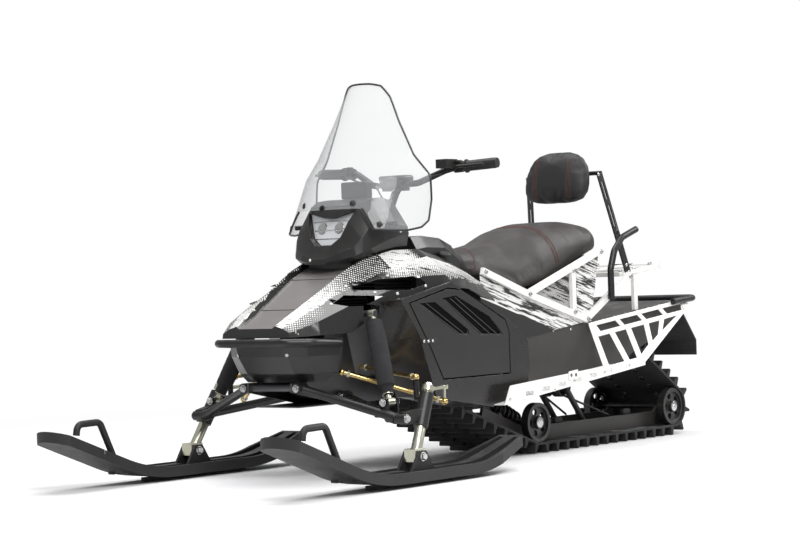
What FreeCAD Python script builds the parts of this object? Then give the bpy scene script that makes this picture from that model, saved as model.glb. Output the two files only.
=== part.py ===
"""Utility snowmobile: one seat, backrest, rear rack, two steered skis and one rubber track.

Frame: millimetres, +X forward, +Y to the rider's left, +Z up. The origin is on the ground, under
the middle of the machine. Lug tips and ski wear bars stand on Z = 0.
"""
import FreeCAD, Part
import math
import os
import Sketcher

Vec = FreeCAD.Vector
Rot = FreeCAD.Rotation
doc = FreeCAD.newDocument("Snowmobile")


# Driving dimensions

# name, value in millimetres or degrees, meaning
SIZES = [
    # track and its wheels
    ("track_width", 380, "belt width"),
    ("belt_thickness", 8, "rubber belt"),
    ("lug_height", 30, "lug above the belt"),
    ("lug_pitch", 64, "wanted spacing of the lug rows"),
    ("lug_foot", 22, "lug length at the belt"),
    ("lug_crest", 9, "lug length at its tip"),
    ("lug_groove", 26, "gap between the three paddles of a row"),
    ("idler_radius", 70, "rear and guide wheels"),
    ("idler_width", 30, "rear and guide wheels"),
    ("rear_idler_x", -1223, "rear axle place"),
    ("guide_wheel_x", -335, "guide wheel place"),
    ("carrier_radius", 60, "upper wheels"),
    ("carrier_x", -900, "upper wheel axle place"),
    ("carrier_z", 322, "upper wheel axle height"),
    ("sprocket_radius", 75, "drive sprocket, to the belt"),
    ("sprocket_x", 230, "drive axle place"),
    ("sprocket_z", 312, "drive axle height"),
    ("axle_radius", 10, "wheel axles"),
    ("belt_clearance", 0.3, "running gap at the belt"),
    # skid frame
    ("rail_spacing", 220, "slide rails, centre to centre"),
    ("rail_thickness", 12, "slide rail"),
    ("rail_height", 52, "slide rail"),
    # tunnel
    ("track_clearance", 12, "from the belt's edge to the tunnel's side plate"),
    ("sheet_metal", 3, "folded sheet metal"),
    ("tunnel_front_x", 385, "front edge"),
    ("tunnel_rear_x", -1269, "rear edge"),
    ("tunnel_low_top_z", 446, "top over the belt, front part"),
    ("tunnel_bend_x", -629, "where the rear deck starts to rise"),
    ("deck_rear_z", 513, "rear edge of the deck"),
    ("board_front_x", 121, "front end of the running boards"),
    ("board_front_z", 200, "board height at its front end"),
    ("board_rear_z", 290, "board height at its rear corner"),
    ("board_corner_x", -748, "where the outer rim turns in"),
    ("board_outer_y", 370, "outer rim"),
    ("rim_height", 60, "rim above the board, at its front"),
    ("rim_mid_height", 36, "rim above the board, before it tapers off"),
    ("rim_tail_height", 14, "rim above the board, at its rear corner"),
    ("rim_mid_x", -511, "where the rim starts to taper off"),
    ("board_bays", 9, "rows of grip holes"),
    # skis
    ("ski_stance", 950, "ski centre to ski centre"),
    ("ski_width", 150, "plastic ski"),
    ("ski_tip_x", 1398, "ski tip"),
    ("ski_tail_x", 236, "ski tail"),
    ("ski_tip_z", 160, "underside of the tip"),
    ("ski_tail_z", 78, "underside of the tail"),
    ("ski_base", 16, "plastic floor of the ski"),
    ("ski_rim", 34, "height of rims and spine"),
    ("ski_rim_width", 14, "rims round the edge"),
    ("ski_spine_width", 40, "middle spine"),
    ("wear_bar_height", 12, "steel bar under the ski"),
    ("wear_bar_width", 14, "steel bar under the ski"),
    ("loop_radius", 11, "ski hand loop tube"),
    # steering
    ("foot_x", 742, "where the spindle axis meets the ski bolt"),
    ("foot_z", 84, "ski bolt height"),
    ("kingpin_top_x", 627, "spindle axis at its top"),
    ("kingpin_top_y", 445, "spindle axis at its top"),
    ("kingpin_top_z", 291, "spindle axis at its top"),
    ("spindle_radius", 13, "steel spindle shaft"),
    ("sleeve_radius", 17, "zinc sleeve"),
    ("housing_radius", 23, "knuckle housing"),
    ("turn_clearance", 0.3, "gap of turning pieces"),
    ("ball_radius", 11, "rod ends"),
    ("rod_radius", 7, "gold rods"),
    ("arm_front_x", 855, "front pivot of the lower arm"),
    ("arm_front_z", 299, "front pivot of the lower arm"),
    ("arm_rear_x", 640, "rear pivot of the lower arm"),
    ("arm_rear_z", 262, "rear pivot of the lower arm"),
    ("arm_tube_radius", 14, "lower arm tubes"),
    ("knuckle_bolt_x", 748, "outer bolt of the lower arm"),
    ("knuckle_bolt_y", 432, "outer bolt of the lower arm"),
    ("knuckle_bolt_z", 200, "outer bolt of the lower arm"),
    ("shock_low_x", 728, "lower shock bolt"),
    ("shock_low_y", 369, "lower shock bolt"),
    ("shock_low_z", 250, "lower shock bolt"),
    ("shock_top_x", 652, "upper shock bolt"),
    ("shock_top_y", 250, "upper shock bolt"),
    ("shock_top_z", 526, "upper shock bolt"),
    ("shock_radius", 26, "sleeve over the spring"),
    ("post_top_x", 196, "steering axis at the handlebar clamp"),
    ("post_top_z", 935, "steering axis at the handlebar clamp"),
    ("post_foot_x", 420, "steering axis at its foot"),
    ("post_foot_z", 560, "steering axis at its foot"),
    ("post_radius", 14, "steering post"),
    ("bar_radius", 11, "handlebar tube"),
    ("grip_radius", 17, "rubber grip"),
    ("grip_length", 120, "rubber grip"),
    ("bar_half_width", 385, "middle to grip end"),
    ("grip_z", 1008, "grip height"),
    ("grip_x", 140, "grip place"),
    # body
    ("panel", 4, "moulded plastic wall"),
    ("door_gap", 5, "gap round the service door"),
    ("louver_depth", 2.5, "recess of the door louvers"),
    ("side_outer_y", 326, "outside of the side body"),
    ("side_inner_y", 212, "inside edge of the side body"),
    ("screen_base_x", 590, "foot of the windshield on the middle line"),
    ("screen_base_z", 862, "foot of the windshield on the middle line"),
    ("screen_top_x", 375, "top of the windshield on the middle line"),
    ("screen_top_z", 1287, "top of the windshield"),
    ("screen_thickness", 4, "clear sheet"),
    ("bumper_radius", 13, "front bumper tube"),
    # seat, rack and tail
    ("frame_bar", 24, "white bars beside the seat"),
    ("frame_bar_thickness", 14, "white bars beside the seat"),
    ("rack_front_x", -872, "rear rack"),
    ("rack_rear_x", -1212, "rear rack"),
    ("rack_front_z", 612, "rear rack"),
    ("rack_rear_z", 643, "rear rack"),
    ("rack_width", 380, "rear rack"),
    ("rack_thickness", 16, "rear rack"),
    ("rear_tube_radius", 12, "rear bumper and grab rails"),
    ("flap_x", -1398, "rear face of the snow flap"),
    ("flap_low_z", 297, "lower edge of the snow flap"),
    ("flap_thickness", 5, "snow flap"),
    ("pad_x", -768, "middle of the backrest pad"),
    ("pad_z", 988, "middle of the backrest pad"),
    ("pad_width", 290, "backrest pad"),
    ("pad_height", 192, "backrest pad"),
    ("pad_thickness", 84, "backrest pad"),
    ("strut_width", 32, "flat backrest struts"),
    ("strut_thickness", 6, "flat backrest struts"),
    ("hitch_bore", 13, "bore for the tow pin"),
]


class Size:
    """A number from the sheet, or a sum or share of such numbers, with its formula."""

    def __init__(self, value, formula):
        self.value = float(value)
        self.formula = formula

    def __float__(self):
        return self.value

    def __neg__(self):
        return Size(-self.value, "-(" + self.formula + ")")

    def __add__(self, other):
        other = sized(other)
        return Size(self.value + other.value, "(" + self.formula + " + " + other.formula + ")")

    def __sub__(self, other):
        return self + (-sized(other))

    def __mul__(self, other):
        other = sized(other)
        return Size(self.value * other.value, "(" + self.formula + " * " + other.formula + ")")

    def __truediv__(self, other):
        other = sized(other)
        return Size(self.value / other.value, "(" + self.formula + " / " + other.formula + ")")

    def __radd__(self, other):
        return sized(other) + self

    def __rsub__(self, other):
        return sized(other) - self

    def __rmul__(self, other):
        return self * other


def sized(number):
    return number if isinstance(number, Size) else Size(number, "%.6f" % number)


class Named:
    """Holds the sheet's values under their names."""


def read_sizes():
    """Fill the sheet and give each of its cells back as a Size."""
    sheet = doc.addObject("Spreadsheet::Sheet", "Sizes")
    for row, (name, value, meaning) in enumerate(SIZES, 1):
        sheet.set("A%d" % row, name)
        sheet.set("B%d" % row, str(value))
        sheet.setAlias("B%d" % row, name)
        sheet.set("C%d" % row, meaning)
    doc.recompute()
    named = Named()
    for name, value, meaning in SIZES:
        setattr(named, name, Size(getattr(sheet, name), "Sizes." + name))
    return named


S = read_sizes()
NODES = []


# Ways of making shapes

def node(item, name):
    """Keep an object as one piece of the machine, under the name of its file."""
    item.Label = name
    NODES.append(item)
    return item


def bind(item, prop, number):
    """Give a property its size and keep it bound to the sheet."""
    item.setExpression(prop, sized(number).formula)


def rounded(corners):
    """Work out where each corner's arc starts and ends, and its centre."""
    spots = []
    count = len(corners)
    places = [Vec(float(sized(c[0])), float(sized(c[1])), 0) for c in corners]
    for i, corner in enumerate(corners):
        here = places[i]
        if len(corner) < 3:
            spots.append((here, here, None, 0))
            continue
        radius = float(sized(corner[2]))
        back = (places[i - 1] - here).normalize()
        ahead = (places[(i + 1) % count] - here).normalize()
        half = back.getAngle(ahead) / 2
        reach = radius / math.tan(half)
        middle = here + (back + ahead).normalize() * (radius / math.sin(half))
        spots.append((here + back * reach, here + ahead * reach, middle, radius))
    return places, spots


def add_loop(sketch, corners):
    """Draw one closed loop of corners (a, b) or (a, b, arc radius), each tied to its sizes."""
    places, spots = rounded(corners)
    count = len(corners)
    rules = []
    formulas = []

    def rule(formula, *words):
        rules.append(Sketcher.Constraint(*words))
        formulas.append(formula)

    lines = []
    for i in range(count):
        start = spots[i][1]
        end = spots[(i + 1) % count][0]
        lines.append(sketch.addGeometry(Part.LineSegment(start, end)))
    for i, corner in enumerate(corners):
        before = lines[i - 1]
        after = lines[i]
        start, end, middle, radius = spots[i]
        if middle is None:
            rule(None, "Coincident", before, 2, after, 1)
            fixed = after
        else:
            fixed = sketch.addGeometry(Part.Point(places[i]), True)
            rule(None, "PointOnObject", fixed, 1, before)
            rule(None, "PointOnObject", fixed, 1, after)
            first = math.atan2(start.y - middle.y, start.x - middle.x)
            last = math.atan2(end.y - middle.y, end.x - middle.x)
            left_turn = (last - first) % (2 * math.pi) < math.pi
            low, high = (first, last) if left_turn else (last, first)
            if high < low:
                high += 2 * math.pi
            circle = Part.Circle(middle, Vec(0, 0, 1), radius)
            arc = sketch.addGeometry(Part.ArcOfCircle(circle, low, high))
            rule(None, "Tangent", before, 2, arc, 1 if left_turn else 2)
            rule(None, "Tangent", arc, 2 if left_turn else 1, after, 1)
            rule(sized(corner[2]).formula, "Radius", arc, radius)
        rule(sized(corner[0]).formula, "DistanceX", -1, 1, fixed, 1, places[i].x)
        rule(sized(corner[1]).formula, "DistanceY", -1, 1, fixed, 1, places[i].y)
    return rules, formulas


def add_circle(sketch, circle):
    """Draw one circle (centre a, centre b, radius), tied to its sizes."""
    a, b, radius = [sized(number) for number in circle]
    shape = Part.Circle(Vec(float(a), float(b), 0), Vec(0, 0, 1), float(radius))
    ring = sketch.addGeometry(shape)
    rules = [Sketcher.Constraint("DistanceX", -1, 1, ring, 3, float(a)),
             Sketcher.Constraint("DistanceY", -1, 1, ring, 3, float(b)),
             Sketcher.Constraint("Radius", ring, float(radius))]
    return rules, [a.formula, b.formula, radius.formula]


def new_body(name):
    """Start a piece that is built feature by feature."""
    body = doc.addObject("PartDesign::Body", name)
    return body


def draw(body, name, plane, loops, at=0):
    """Sketch on the plane XY, XZ or YZ, at a distance along the axis that it lacks."""
    sketch = body.newObject("Sketcher::SketchObject", name + "_sketch")
    support = [item for item in body.Origin.OriginFeatures if item.Role == plane + "_Plane"][0]
    sketch.AttachmentSupport = [(support, "")]
    sketch.MapMode = "FlatFace"
    offset = sized(at)
    if plane == "XZ":
        offset = -offset
    sketch.AttachmentOffset = FreeCAD.Placement(Vec(0, 0, float(offset)), Rot())
    sketch.setExpression(".AttachmentOffset.Base.z", offset.formula)
    rules = []
    formulas = []
    for loop in loops:
        adder = add_circle if len(loop) == 3 and not isinstance(loop[0], tuple) else add_loop
        more_rules, more_formulas = adder(sketch, loop)
        rules += more_rules
        formulas += more_formulas
    first = sketch.ConstraintCount
    sketch.addConstraint(rules)
    for i, formula in enumerate(formulas):
        if formula is not None:
            sketch.setExpression("Constraints[%d]" % (first + i), formula)
    return sketch


def both_ways(body, kind, name, plane, loops, at, thickness):
    """Add or cut a prism whose middle plane is at a given place."""
    sketch = draw(body, name, plane, loops, at)
    feature = body.newObject("PartDesign::" + kind, name)
    feature.Profile = sketch
    feature.SideType = "Symmetric"
    bind(feature, "Length", thickness)
    body.Tip = feature
    return feature


def pad(body, name, plane, loops, at, thickness):
    return both_ways(body, "Pad", name, plane, loops, at, thickness)


def pocket(body, name, plane, loops, at, thickness):
    return both_ways(body, "Pocket", name, plane, loops, at, thickness)


def repeat(body, feature, axis, pitch, count):
    """Repeat a feature along one of the body's own axes; a negative pitch runs backwards."""
    pattern = body.newObject("PartDesign::LinearPattern", feature.Name + "_row")
    pattern.Originals = [feature]
    line = [item for item in body.Origin.OriginFeatures if item.Role == axis + "_Axis"][0]
    pattern.Direction = (line, [""])
    pattern.Reversed = float(sized(pitch)) < 0
    span = sized(pitch) * (count - 1)
    bind(pattern, "Length", -span if pattern.Reversed else span)
    pattern.Occurrences = count
    body.Tip = pattern
    return pattern


def revolve(body, name, loops, axis="Y"):
    """Turn a profile, drawn on the XY plane, about one of the body's own axes."""
    sketch = draw(body, name, "XY", loops)
    feature = body.newObject("PartDesign::Revolution", name)
    feature.Profile = sketch
    role = axis + "_Axis"
    line = [item for item in body.Origin.OriginFeatures if item.Role == role][0]
    feature.ReferenceAxis = (line, [""])
    feature.Angle = 360
    body.Tip = feature
    return feature


def put(item, x=0, y=0, z=0, turn=None):
    """Place an object by sizes from the sheet."""
    if turn is not None:
        item.Placement = FreeCAD.Placement(Vec(0, 0, 0), turn)
    for axis, number in (("x", x), ("y", y), ("z", z)):
        bind(item, "Placement.Base." + axis, number)
    return item


def box(name, low, size):
    """A block from its lowest corner."""
    item = doc.addObject("Part::Box", name)
    for prop, number in zip(("Length", "Width", "Height"), size):
        bind(item, prop, number)
    return put(item, *low)


ALONG_Y = Rot(Vec(1, 0, 0), -90)
ALONG_X = Rot(Vec(0, 1, 0), 90)


def rod(name, centre, radius, length, turn=ALONG_Y):
    """A round bar whose middle is at centre, along Y unless it is turned."""
    item = doc.addObject("Part::Cylinder", name)
    bind(item, "Radius", radius)
    bind(item, "Height", length)
    x, y, z = centre
    half = sized(length) / 2
    if turn is ALONG_Y:
        return put(item, x, sized(y) - half, z, turn)
    if turn is ALONG_X:
        return put(item, sized(x) - half, y, z, turn)
    return put(item, x, y, sized(z) - half, turn)


def fuse(name, parts):
    item = doc.addObject("Part::MultiFuse", name)
    item.Shapes = parts
    return item


def group(name, parts):
    """Several solids that don't touch, kept as one piece."""
    item = doc.addObject("Part::Compound", name)
    item.Links = parts
    return item


def mirrored(name, source):
    """The right-hand twin of a left-hand piece."""
    item = doc.addObject("Part::Mirroring", name)
    item.Source = source
    item.Normal = Vec(0, 1, 0)
    return item


def shaped(name, shape):
    """A piece whose shape is worked out here from the sheet's values."""
    item = doc.addObject("Part::Feature", name)
    item.Shape = shape
    return item


def point(x, y, z):
    return Vec(float(sized(x)), float(sized(y)), float(sized(z)))


def path_of(points, bend):
    """Straight runs joined by tangent arcs of one bend radius."""
    edges = []
    here = points[0]
    for i in range(1, len(points) - 1):
        corner = points[i]
        back = (points[i - 1] - corner).normalize()
        ahead = (points[i + 1] - corner).normalize()
        half = back.getAngle(ahead) / 2
        reach = bend / math.tan(half)
        start = corner + back * reach
        end = corner + ahead * reach
        middle = corner + (back + ahead).normalize() * (bend / math.sin(half))
        top = middle + (corner - middle).normalize() * bend
        edges.append(Part.LineSegment(here, start).toShape())
        edges.append(Part.Arc(start, top, end).toShape())
        here = end
    edges.append(Part.LineSegment(here, points[-1]).toShape())
    return Part.Wire(edges)


def tube(points, radius, bend=0):
    """A round tube along a path of corners."""
    wire = path_of(points, float(sized(bend)))
    ahead = points[1] - points[0]
    ring = Part.Circle(points[0], ahead, float(sized(radius))).toShape()
    return wire.makePipeShell([Part.Wire([ring])], True, False)


def strut(start, end, radius):
    """A straight round bar between two places."""
    return Part.makeCylinder(float(sized(radius)), (end - start).Length, start, end - start)


def strip(start, end, width, thickness, across):
    """A straight flat bar; across is the direction of its thickness."""
    along = (end - start).normalize()
    side = across.cross(along).normalize()
    wide = float(sized(width)) / 2
    thick = float(sized(thickness)) / 2
    over = along.cross(side).normalize()
    corners = []
    for a, b in ((-1, -1), (1, -1), (1, 1), (-1, 1)):
        corners.append(start + side * (a * wide) + over * (b * thick))
    face = Part.Face(Part.makePolygon(corners + corners[:1]))
    return face.extrude(end - start)


def loft(sections):
    """A solid through closed sections of as many corners each."""
    wires = [Part.makePolygon(section + section[:1]) for section in sections]
    return Part.makeLoft(wires, True, True)


def flipped(shape):
    """The right-hand twin of a shape."""
    return shape.mirror(Vec(0, 0, 0), Vec(0, 1, 0))


# Track, wheels and skid frame

axle_low_z = S.idler_radius + S.belt_clearance + S.belt_thickness + S.lug_height
belt_top_z = S.lug_height + S.belt_thickness
tunnel_width = S.track_width + 2 * (S.track_clearance + S.sheet_metal)
tunnel_side = tunnel_width / 2 - S.sheet_metal

# x, z, radius of the round places that the belt runs over, counter-clockwise seen from the right
BELT_ROUNDS = [
    (S.rear_idler_x, axle_low_z, S.idler_radius),
    (S.guide_wheel_x, axle_low_z, S.idler_radius),
    (S.sprocket_x, S.sprocket_z, S.sprocket_radius),
    (S.carrier_x, S.carrier_z, S.carrier_radius),
]


def belt_runs(offset):
    """The straight runs and arcs of the loop, a distance outside the wheels."""
    rounds = [(float(x), float(z), float(r) + offset) for x, z, r in BELT_ROUNDS]
    slopes = []
    for i, (x, z, r) in enumerate(rounds):
        x2, z2, r2 = rounds[(i + 1) % len(rounds)]
        slope = math.atan2(z2 - z, x2 - x) + math.asin((r - r2) / math.hypot(x2 - x, z2 - z))
        slopes.append(slope)
    runs = []
    for i, (x, z, r) in enumerate(rounds):
        turn_in = slopes[i - 1]
        turn_out = slopes[i] if slopes[i] > turn_in else slopes[i] + 2 * math.pi
        runs.append(("arc", x, z, r, turn_in - math.pi / 2, turn_out - math.pi / 2))
        x2, z2, r2 = rounds[(i + 1) % len(rounds)]
        out = (math.sin(slopes[i]), -math.cos(slopes[i]))
        runs.append(("line", x + out[0] * r, z + out[1] * r, x2 + out[0] * r2, z2 + out[1] * r2, slopes[i]))
    return runs


def loop_face(offset):
    """The area inside the loop, a distance outside the wheels."""
    edges = []
    for run in belt_runs(offset):
        if run[0] == "line":
            kind, x, z, x2, z2, slope = run
            edges.append(Part.LineSegment(Vec(x, 0, z), Vec(x2, 0, z2)).toShape())
        else:
            kind, x, z, r, low, high = run
            spots = [low, (low + high) / 2, high]
            spots = [Vec(x + r * math.cos(a), 0, z + r * math.sin(a)) for a in spots]
            edges.append(Part.Arc(*spots).toShape())
    return Part.Face(Part.Wire(edges))


def loop_length(offset):
    total = 0
    for run in belt_runs(offset):
        if run[0] == "line":
            total += math.hypot(run[3] - run[1], run[4] - run[2])
        else:
            total += run[3] * (run[5] - run[4])
    return total


def loop_spot(offset, distance):
    """The place at a distance along the loop, and the outward direction there."""
    for run in belt_runs(offset):
        if run[0] == "line":
            kind, x, z, x2, z2, slope = run
            length = math.hypot(x2 - x, z2 - z)
            if distance <= length:
                share = distance / length
                return Vec(x + (x2 - x) * share, 0, z + (z2 - z) * share), slope - math.pi / 2
        else:
            kind, x, z, r, low, high = run
            length = r * (high - low)
            if distance <= length:
                angle = low + distance / r
                return Vec(x + r * math.cos(angle), 0, z + r * math.sin(angle)), angle
        distance -= length
    return loop_spot(offset, 0)


def between(face, low_y, high_y):
    """Stand a face of the XZ plane up as a prism between two values of Y."""
    moved = face.copy()
    moved.translate(Vec(0, low_y, 0))
    return moved.extrude(Vec(0, high_y - low_y, 0))


def make_track():
    """One rubber loop with its rows of three paddles."""
    inside = float(S.belt_clearance)
    outside = inside + float(S.belt_thickness)
    tips = outside + float(S.lug_height)
    sink = float(S.belt_thickness) / 2
    half = float(S.track_width) / 2
    count = round(loop_length(outside) / float(S.lug_pitch))
    lugs = []
    for i in range(count):
        place, angle = loop_spot(outside, loop_length(outside) * (i + 0.5) / count)
        out = Vec(math.cos(angle), 0, math.sin(angle))
        along = Vec(-out.z, 0, out.x)
        foot = float(S.lug_foot) / 2
        crest = float(S.lug_crest) / 2
        low = place - out * sink
        top = place + out * float(S.lug_height)
        corners = [low - along * foot, low + along * foot, top + along * crest, top - along * crest]
        lugs.append(Part.Face(Part.makePolygon(corners + corners[:1])))
    belt = loop_face(outside).cut(loop_face(inside)).Faces[0]
    if belt.normalAt(0, 0).dot(lugs[0].normalAt(0, 0)) < 0:
        belt.reverse()
    profile = belt.multiFuse(lugs).removeSplitter()
    track = between(profile.Faces[0], -half, half)
    ring = loop_face(tips + 1).cut(loop_face(outside))
    paddle = (float(S.track_width) - 2 * float(S.lug_groove)) / 3
    for side in (-1, 1):
        near = side * paddle / 2
        far = side * (paddle / 2 + float(S.lug_groove))
        track = track.cut(between(ring, min(near, far), max(near, far)))
    return track


node(shaped("Track", make_track()), "track")


def wheel(name, radius, width, x, y, z, openings=5):
    """A moulded wheel: rim, web with round openings, and hub."""
    body = new_body(name)
    rim = radius * 0.8
    hub = S.axle_radius + 13
    half = width / 2
    web = sized(5)
    revolve(body, name + "_profile", [[
        (0, -(half + 4)), (hub, -(half + 4)), (hub, -web), (rim, -web), (rim, -half), (radius, -half),
        (radius, half), (rim, half), (rim, web), (hub, web), (hub, half + 4), (0, half + 4)]])
    hole = (rim - hub) * 0.36
    middle = (rim + hub) / 2
    window = pocket(body, name + "_window", "XZ", [(middle, 0, hole)], 0, width * 2)
    ring = body.newObject("PartDesign::PolarPattern", name + "_windows")
    ring.Originals = [window]
    axis = [item for item in body.Origin.OriginFeatures if item.Role == "Y_Axis"][0]
    ring.Axis = (axis, [""])
    ring.Angle = 360
    ring.Occurrences = openings
    body.Tip = ring
    return put(body, x, y, z)


# name, x, z, wheel radius, wheel middle off centre, axle length
AXLES = [
    ("rear", S.rear_idler_x, axle_low_z, S.idler_radius, S.track_width / 2 - S.idler_width / 2 - 6,
     S.track_width - 4),
    ("guide", S.guide_wheel_x, axle_low_z, S.idler_radius, S.track_width / 2 - S.idler_width / 2 - 6,
     S.track_width - 4),
    ("carrier", S.carrier_x, S.carrier_z, S.carrier_radius, sized(120),
     2 * tunnel_side - 2 * S.turn_clearance),
]
axles = []
for name, x, z, radius, off, length in AXLES:
    pieces = [rod(name + "_axle", (x, 0, z), S.axle_radius, length)]
    for side in (-1, 1):
        pieces.append(wheel("%s_wheel_%s" % (name, "left" if side > 0 else "right"), radius, S.idler_width,
                            x, off * side, z))
    axles.append(fuse(name + "_set", pieces))

# Two sprockets on the drive axle
sprockets = [rod("drive_bar", (S.sprocket_x, 0, S.sprocket_z), S.axle_radius + 2,
                 2 * tunnel_side - 2 * S.turn_clearance)]
for side in (-1, 1):
    sprockets.append(rod("sprocket_%d" % (side + 1), (S.sprocket_x, S.track_width / 5 * side, S.sprocket_z),
                         S.sprocket_radius, 24))
axles.append(fuse("DriveAxle", sprockets))
node(group("WheelsAndAxles", axles), "wheels_and_axles")

rail_low_z = belt_top_z + S.belt_clearance
rail_top_z = rail_low_z + S.rail_height


def make_rail(side):
    """A slide rail: flat along the ground run, then bent up along the front ramp."""
    body = new_body("rail_%s" % ("left" if side > 0 else "right"))
    ramp = (S.sprocket_z - axle_low_z) / (S.sprocket_x - S.guide_wheel_x)
    bend_x = S.guide_wheel_x + 10
    tip_x = S.guide_wheel_x + 250
    rise = ramp * (tip_x - bend_x)
    pad(body, body.Name + "_plate", "XZ", [
        [(S.rear_idler_x - 22, rail_low_z + 20, 8), (S.rear_idler_x + 10, rail_low_z, 20),
         (bend_x, rail_low_z, 160),
         (tip_x, rail_low_z + rise + 3, 6), (tip_x - 12, rail_top_z + rise, 6), (bend_x - 18, rail_top_z,
                                                                                 120),
         (S.rear_idler_x + 30, rail_top_z, 8), (S.rear_idler_x - 22, axle_low_z + 26, 12)]],
        S.rail_spacing / 2 * side, S.rail_thickness)
    bores = [(x, z, S.axle_radius + S.turn_clearance) for name, x, z, r, o, l in AXLES[:2]]
    pocket(body, body.Name + "_bores", "XZ", bores, S.rail_spacing / 2 * side, S.rail_thickness * 2)
    return body


# x, z of the cross shafts; each reaches the rails or the tunnel sides
skid = [make_rail(1), make_rail(-1)]
# name, x, z, radius, length of the cross shafts of the skid frame
shaft_to_tunnel = 2 * tunnel_side - 2 * S.turn_clearance
shaft_to_rails = S.rail_spacing
SKID_SHAFTS = [
    ("front_low", -205, 140, 11, shaft_to_rails),
    ("front_high", -40, 296, 12, shaft_to_tunnel),
    ("rear_low", -800, rail_low_z + 30, 11, shaft_to_rails),
    ("rear_high", -590, 318, 12, shaft_to_tunnel),
    ("middle", -520, rail_low_z + 26, 11, shaft_to_rails),
]
spots = {}
for name, x, z, radius, length in SKID_SHAFTS:
    skid.append(rod("skid_" + name, (x, 0, z), radius, length))
    spots[name] = (x, z)
# lower shaft, upper shaft, distance off the middle, tube radius
for low, high, off, radius in (("front_low", "front_high", 70, 11), ("rear_low", "rear_high", 62, 11)):
    for side in (-1, 1):
        ends = [point(spots[key][0], off * side, spots[key][1]) for key in (low, high)]
        skid.append(shaped("skid_arm_%s_%d" % (low, side + 1), strut(ends[0], ends[1], radius)))
shock_ends = [point(spots["middle"][0], 0, spots["middle"][1]),
              point(spots["front_high"][0], 0, spots["front_high"][1])]
lean = shock_ends[1] - shock_ends[0]
skid.append(shaped("skid_shock", strut(shock_ends[0] + lean * 0.12, shock_ends[0] + lean * 0.8, 24)))
skid.append(shaped("skid_shock_rod", strut(shock_ends[0], shock_ends[1], 8)))
node(fuse("SkidFrame", skid), "skid_frame")


# Tunnel, running boards and side trusses

tunnel_half = tunnel_width / 2
board_slope = (S.board_rear_z - S.board_front_z) / (S.board_corner_x - S.board_front_x)
deck_slope = (S.deck_rear_z - S.tunnel_low_top_z) / (S.tunnel_rear_x - S.tunnel_bend_x)


def board_z(x):
    """Underside of the running board at a place along the machine."""
    return S.board_front_z + (x - S.board_front_x) * board_slope


def deck_z(x):
    """Top of the rear deck at a place along the machine."""
    return S.tunnel_low_top_z + (x - S.tunnel_bend_x) * deck_slope


tunnel = new_body("Tunnel")
TUNNEL_SIDE = [(S.tunnel_front_x, S.tunnel_low_top_z, 20), (S.tunnel_bend_x, S.tunnel_low_top_z, 60),
               (S.tunnel_rear_x, S.deck_rear_z), (S.tunnel_rear_x, S.deck_rear_z - 70, 12),
               (S.board_corner_x - 60, S.board_rear_z, 30), (S.board_corner_x, board_z(S.board_corner_x),
                                                             30),
               (S.board_front_x, S.board_front_z), (S.tunnel_front_x, S.board_front_z + 60)]
pad(tunnel, "tunnel_block", "XZ", [TUNNEL_SIDE], 0, tunnel_width)
TUNNEL_INSIDE = [(S.tunnel_front_x - S.sheet_metal, S.tunnel_low_top_z - S.sheet_metal, 17),
                 (S.tunnel_bend_x, S.tunnel_low_top_z - S.sheet_metal, 57),
                 (S.tunnel_rear_x - 20, S.deck_rear_z - S.sheet_metal - 20 * deck_slope),
                 (S.tunnel_rear_x - 20, 100), (S.tunnel_front_x - S.sheet_metal, 100)]
pocket(tunnel, "tunnel_hollow", "XZ", [TUNNEL_INSIDE], 0, tunnel_side * 2)
node(tunnel, "tunnel")

board_inner = tunnel_half + S.turn_clearance


def make_board():
    """Left running board: grip plate, toothed outer rim, and the cut truss that closes its rear."""
    board = new_body("Board_plate")
    width = S.board_outer_y - board_inner
    middle = (S.board_outer_y + board_inner) / 2
    low = [(S.board_front_x, S.board_front_z), (S.board_corner_x, S.board_rear_z)]
    high = [(x, z + S.sheet_metal) for x, z in reversed(low)]
    pad(board, "board_floor", "XZ", [low + high], middle, width)
    rim_mid = S.board_outer_y - S.sheet_metal / 2
    rim = [(S.board_corner_x, S.board_rear_z + S.rim_tail_height),
           (S.rim_mid_x, board_z(S.rim_mid_x) + S.rim_mid_height, 60),
           (S.board_front_x - 35, board_z(S.board_front_x - 35) + S.rim_height, 10)]
    pad(board, "board_rim", "XZ", [low + rim], rim_mid, S.sheet_metal)
    pitch = (S.board_front_x - S.board_corner_x) / S.board_bays
    first_x = S.board_front_x - pitch / 2
    holes = []
    for row in range(3):
        y = board_inner + width * (row + 0.6) / 3.4
        holes.append([(first_x - 26, y - 9), (first_x + 26, y - 9), (first_x + 26, y + 9),
                      (first_x - 26, y + 9)])
    level = (S.board_front_z + S.board_rear_z) / 2
    bays = int(float(S.board_bays))
    repeat(board, pocket(board, "board_grip_holes", "XY", holes, level, 260), "X", -pitch, bays)
    low_z = board_z(first_x - pitch) + 10
    tooth = [(first_x - pitch - 22, low_z), (first_x - pitch + 22, low_z),
             (first_x - pitch + 22, low_z + 14),
             (first_x - pitch - 22, low_z + 14)]
    slots = [tooth]
    for i in range(1, bays - 2):
        slots.append([(a - pitch * i, b - pitch * board_slope * i) for a, b in tooth])
    pocket(board, "board_rim_slots", "XZ", slots, rim_mid, S.sheet_metal * 6)
    return board


# share along the chord from its front, share of the way down to the lower corner: truss outline
TRUSS_OUTLINE = [(0, 0), (1.0, 0), (1.04, 0.14), (0.20, 0.93), (0.12, 1.0), (-0.24, 1.0)]
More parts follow.
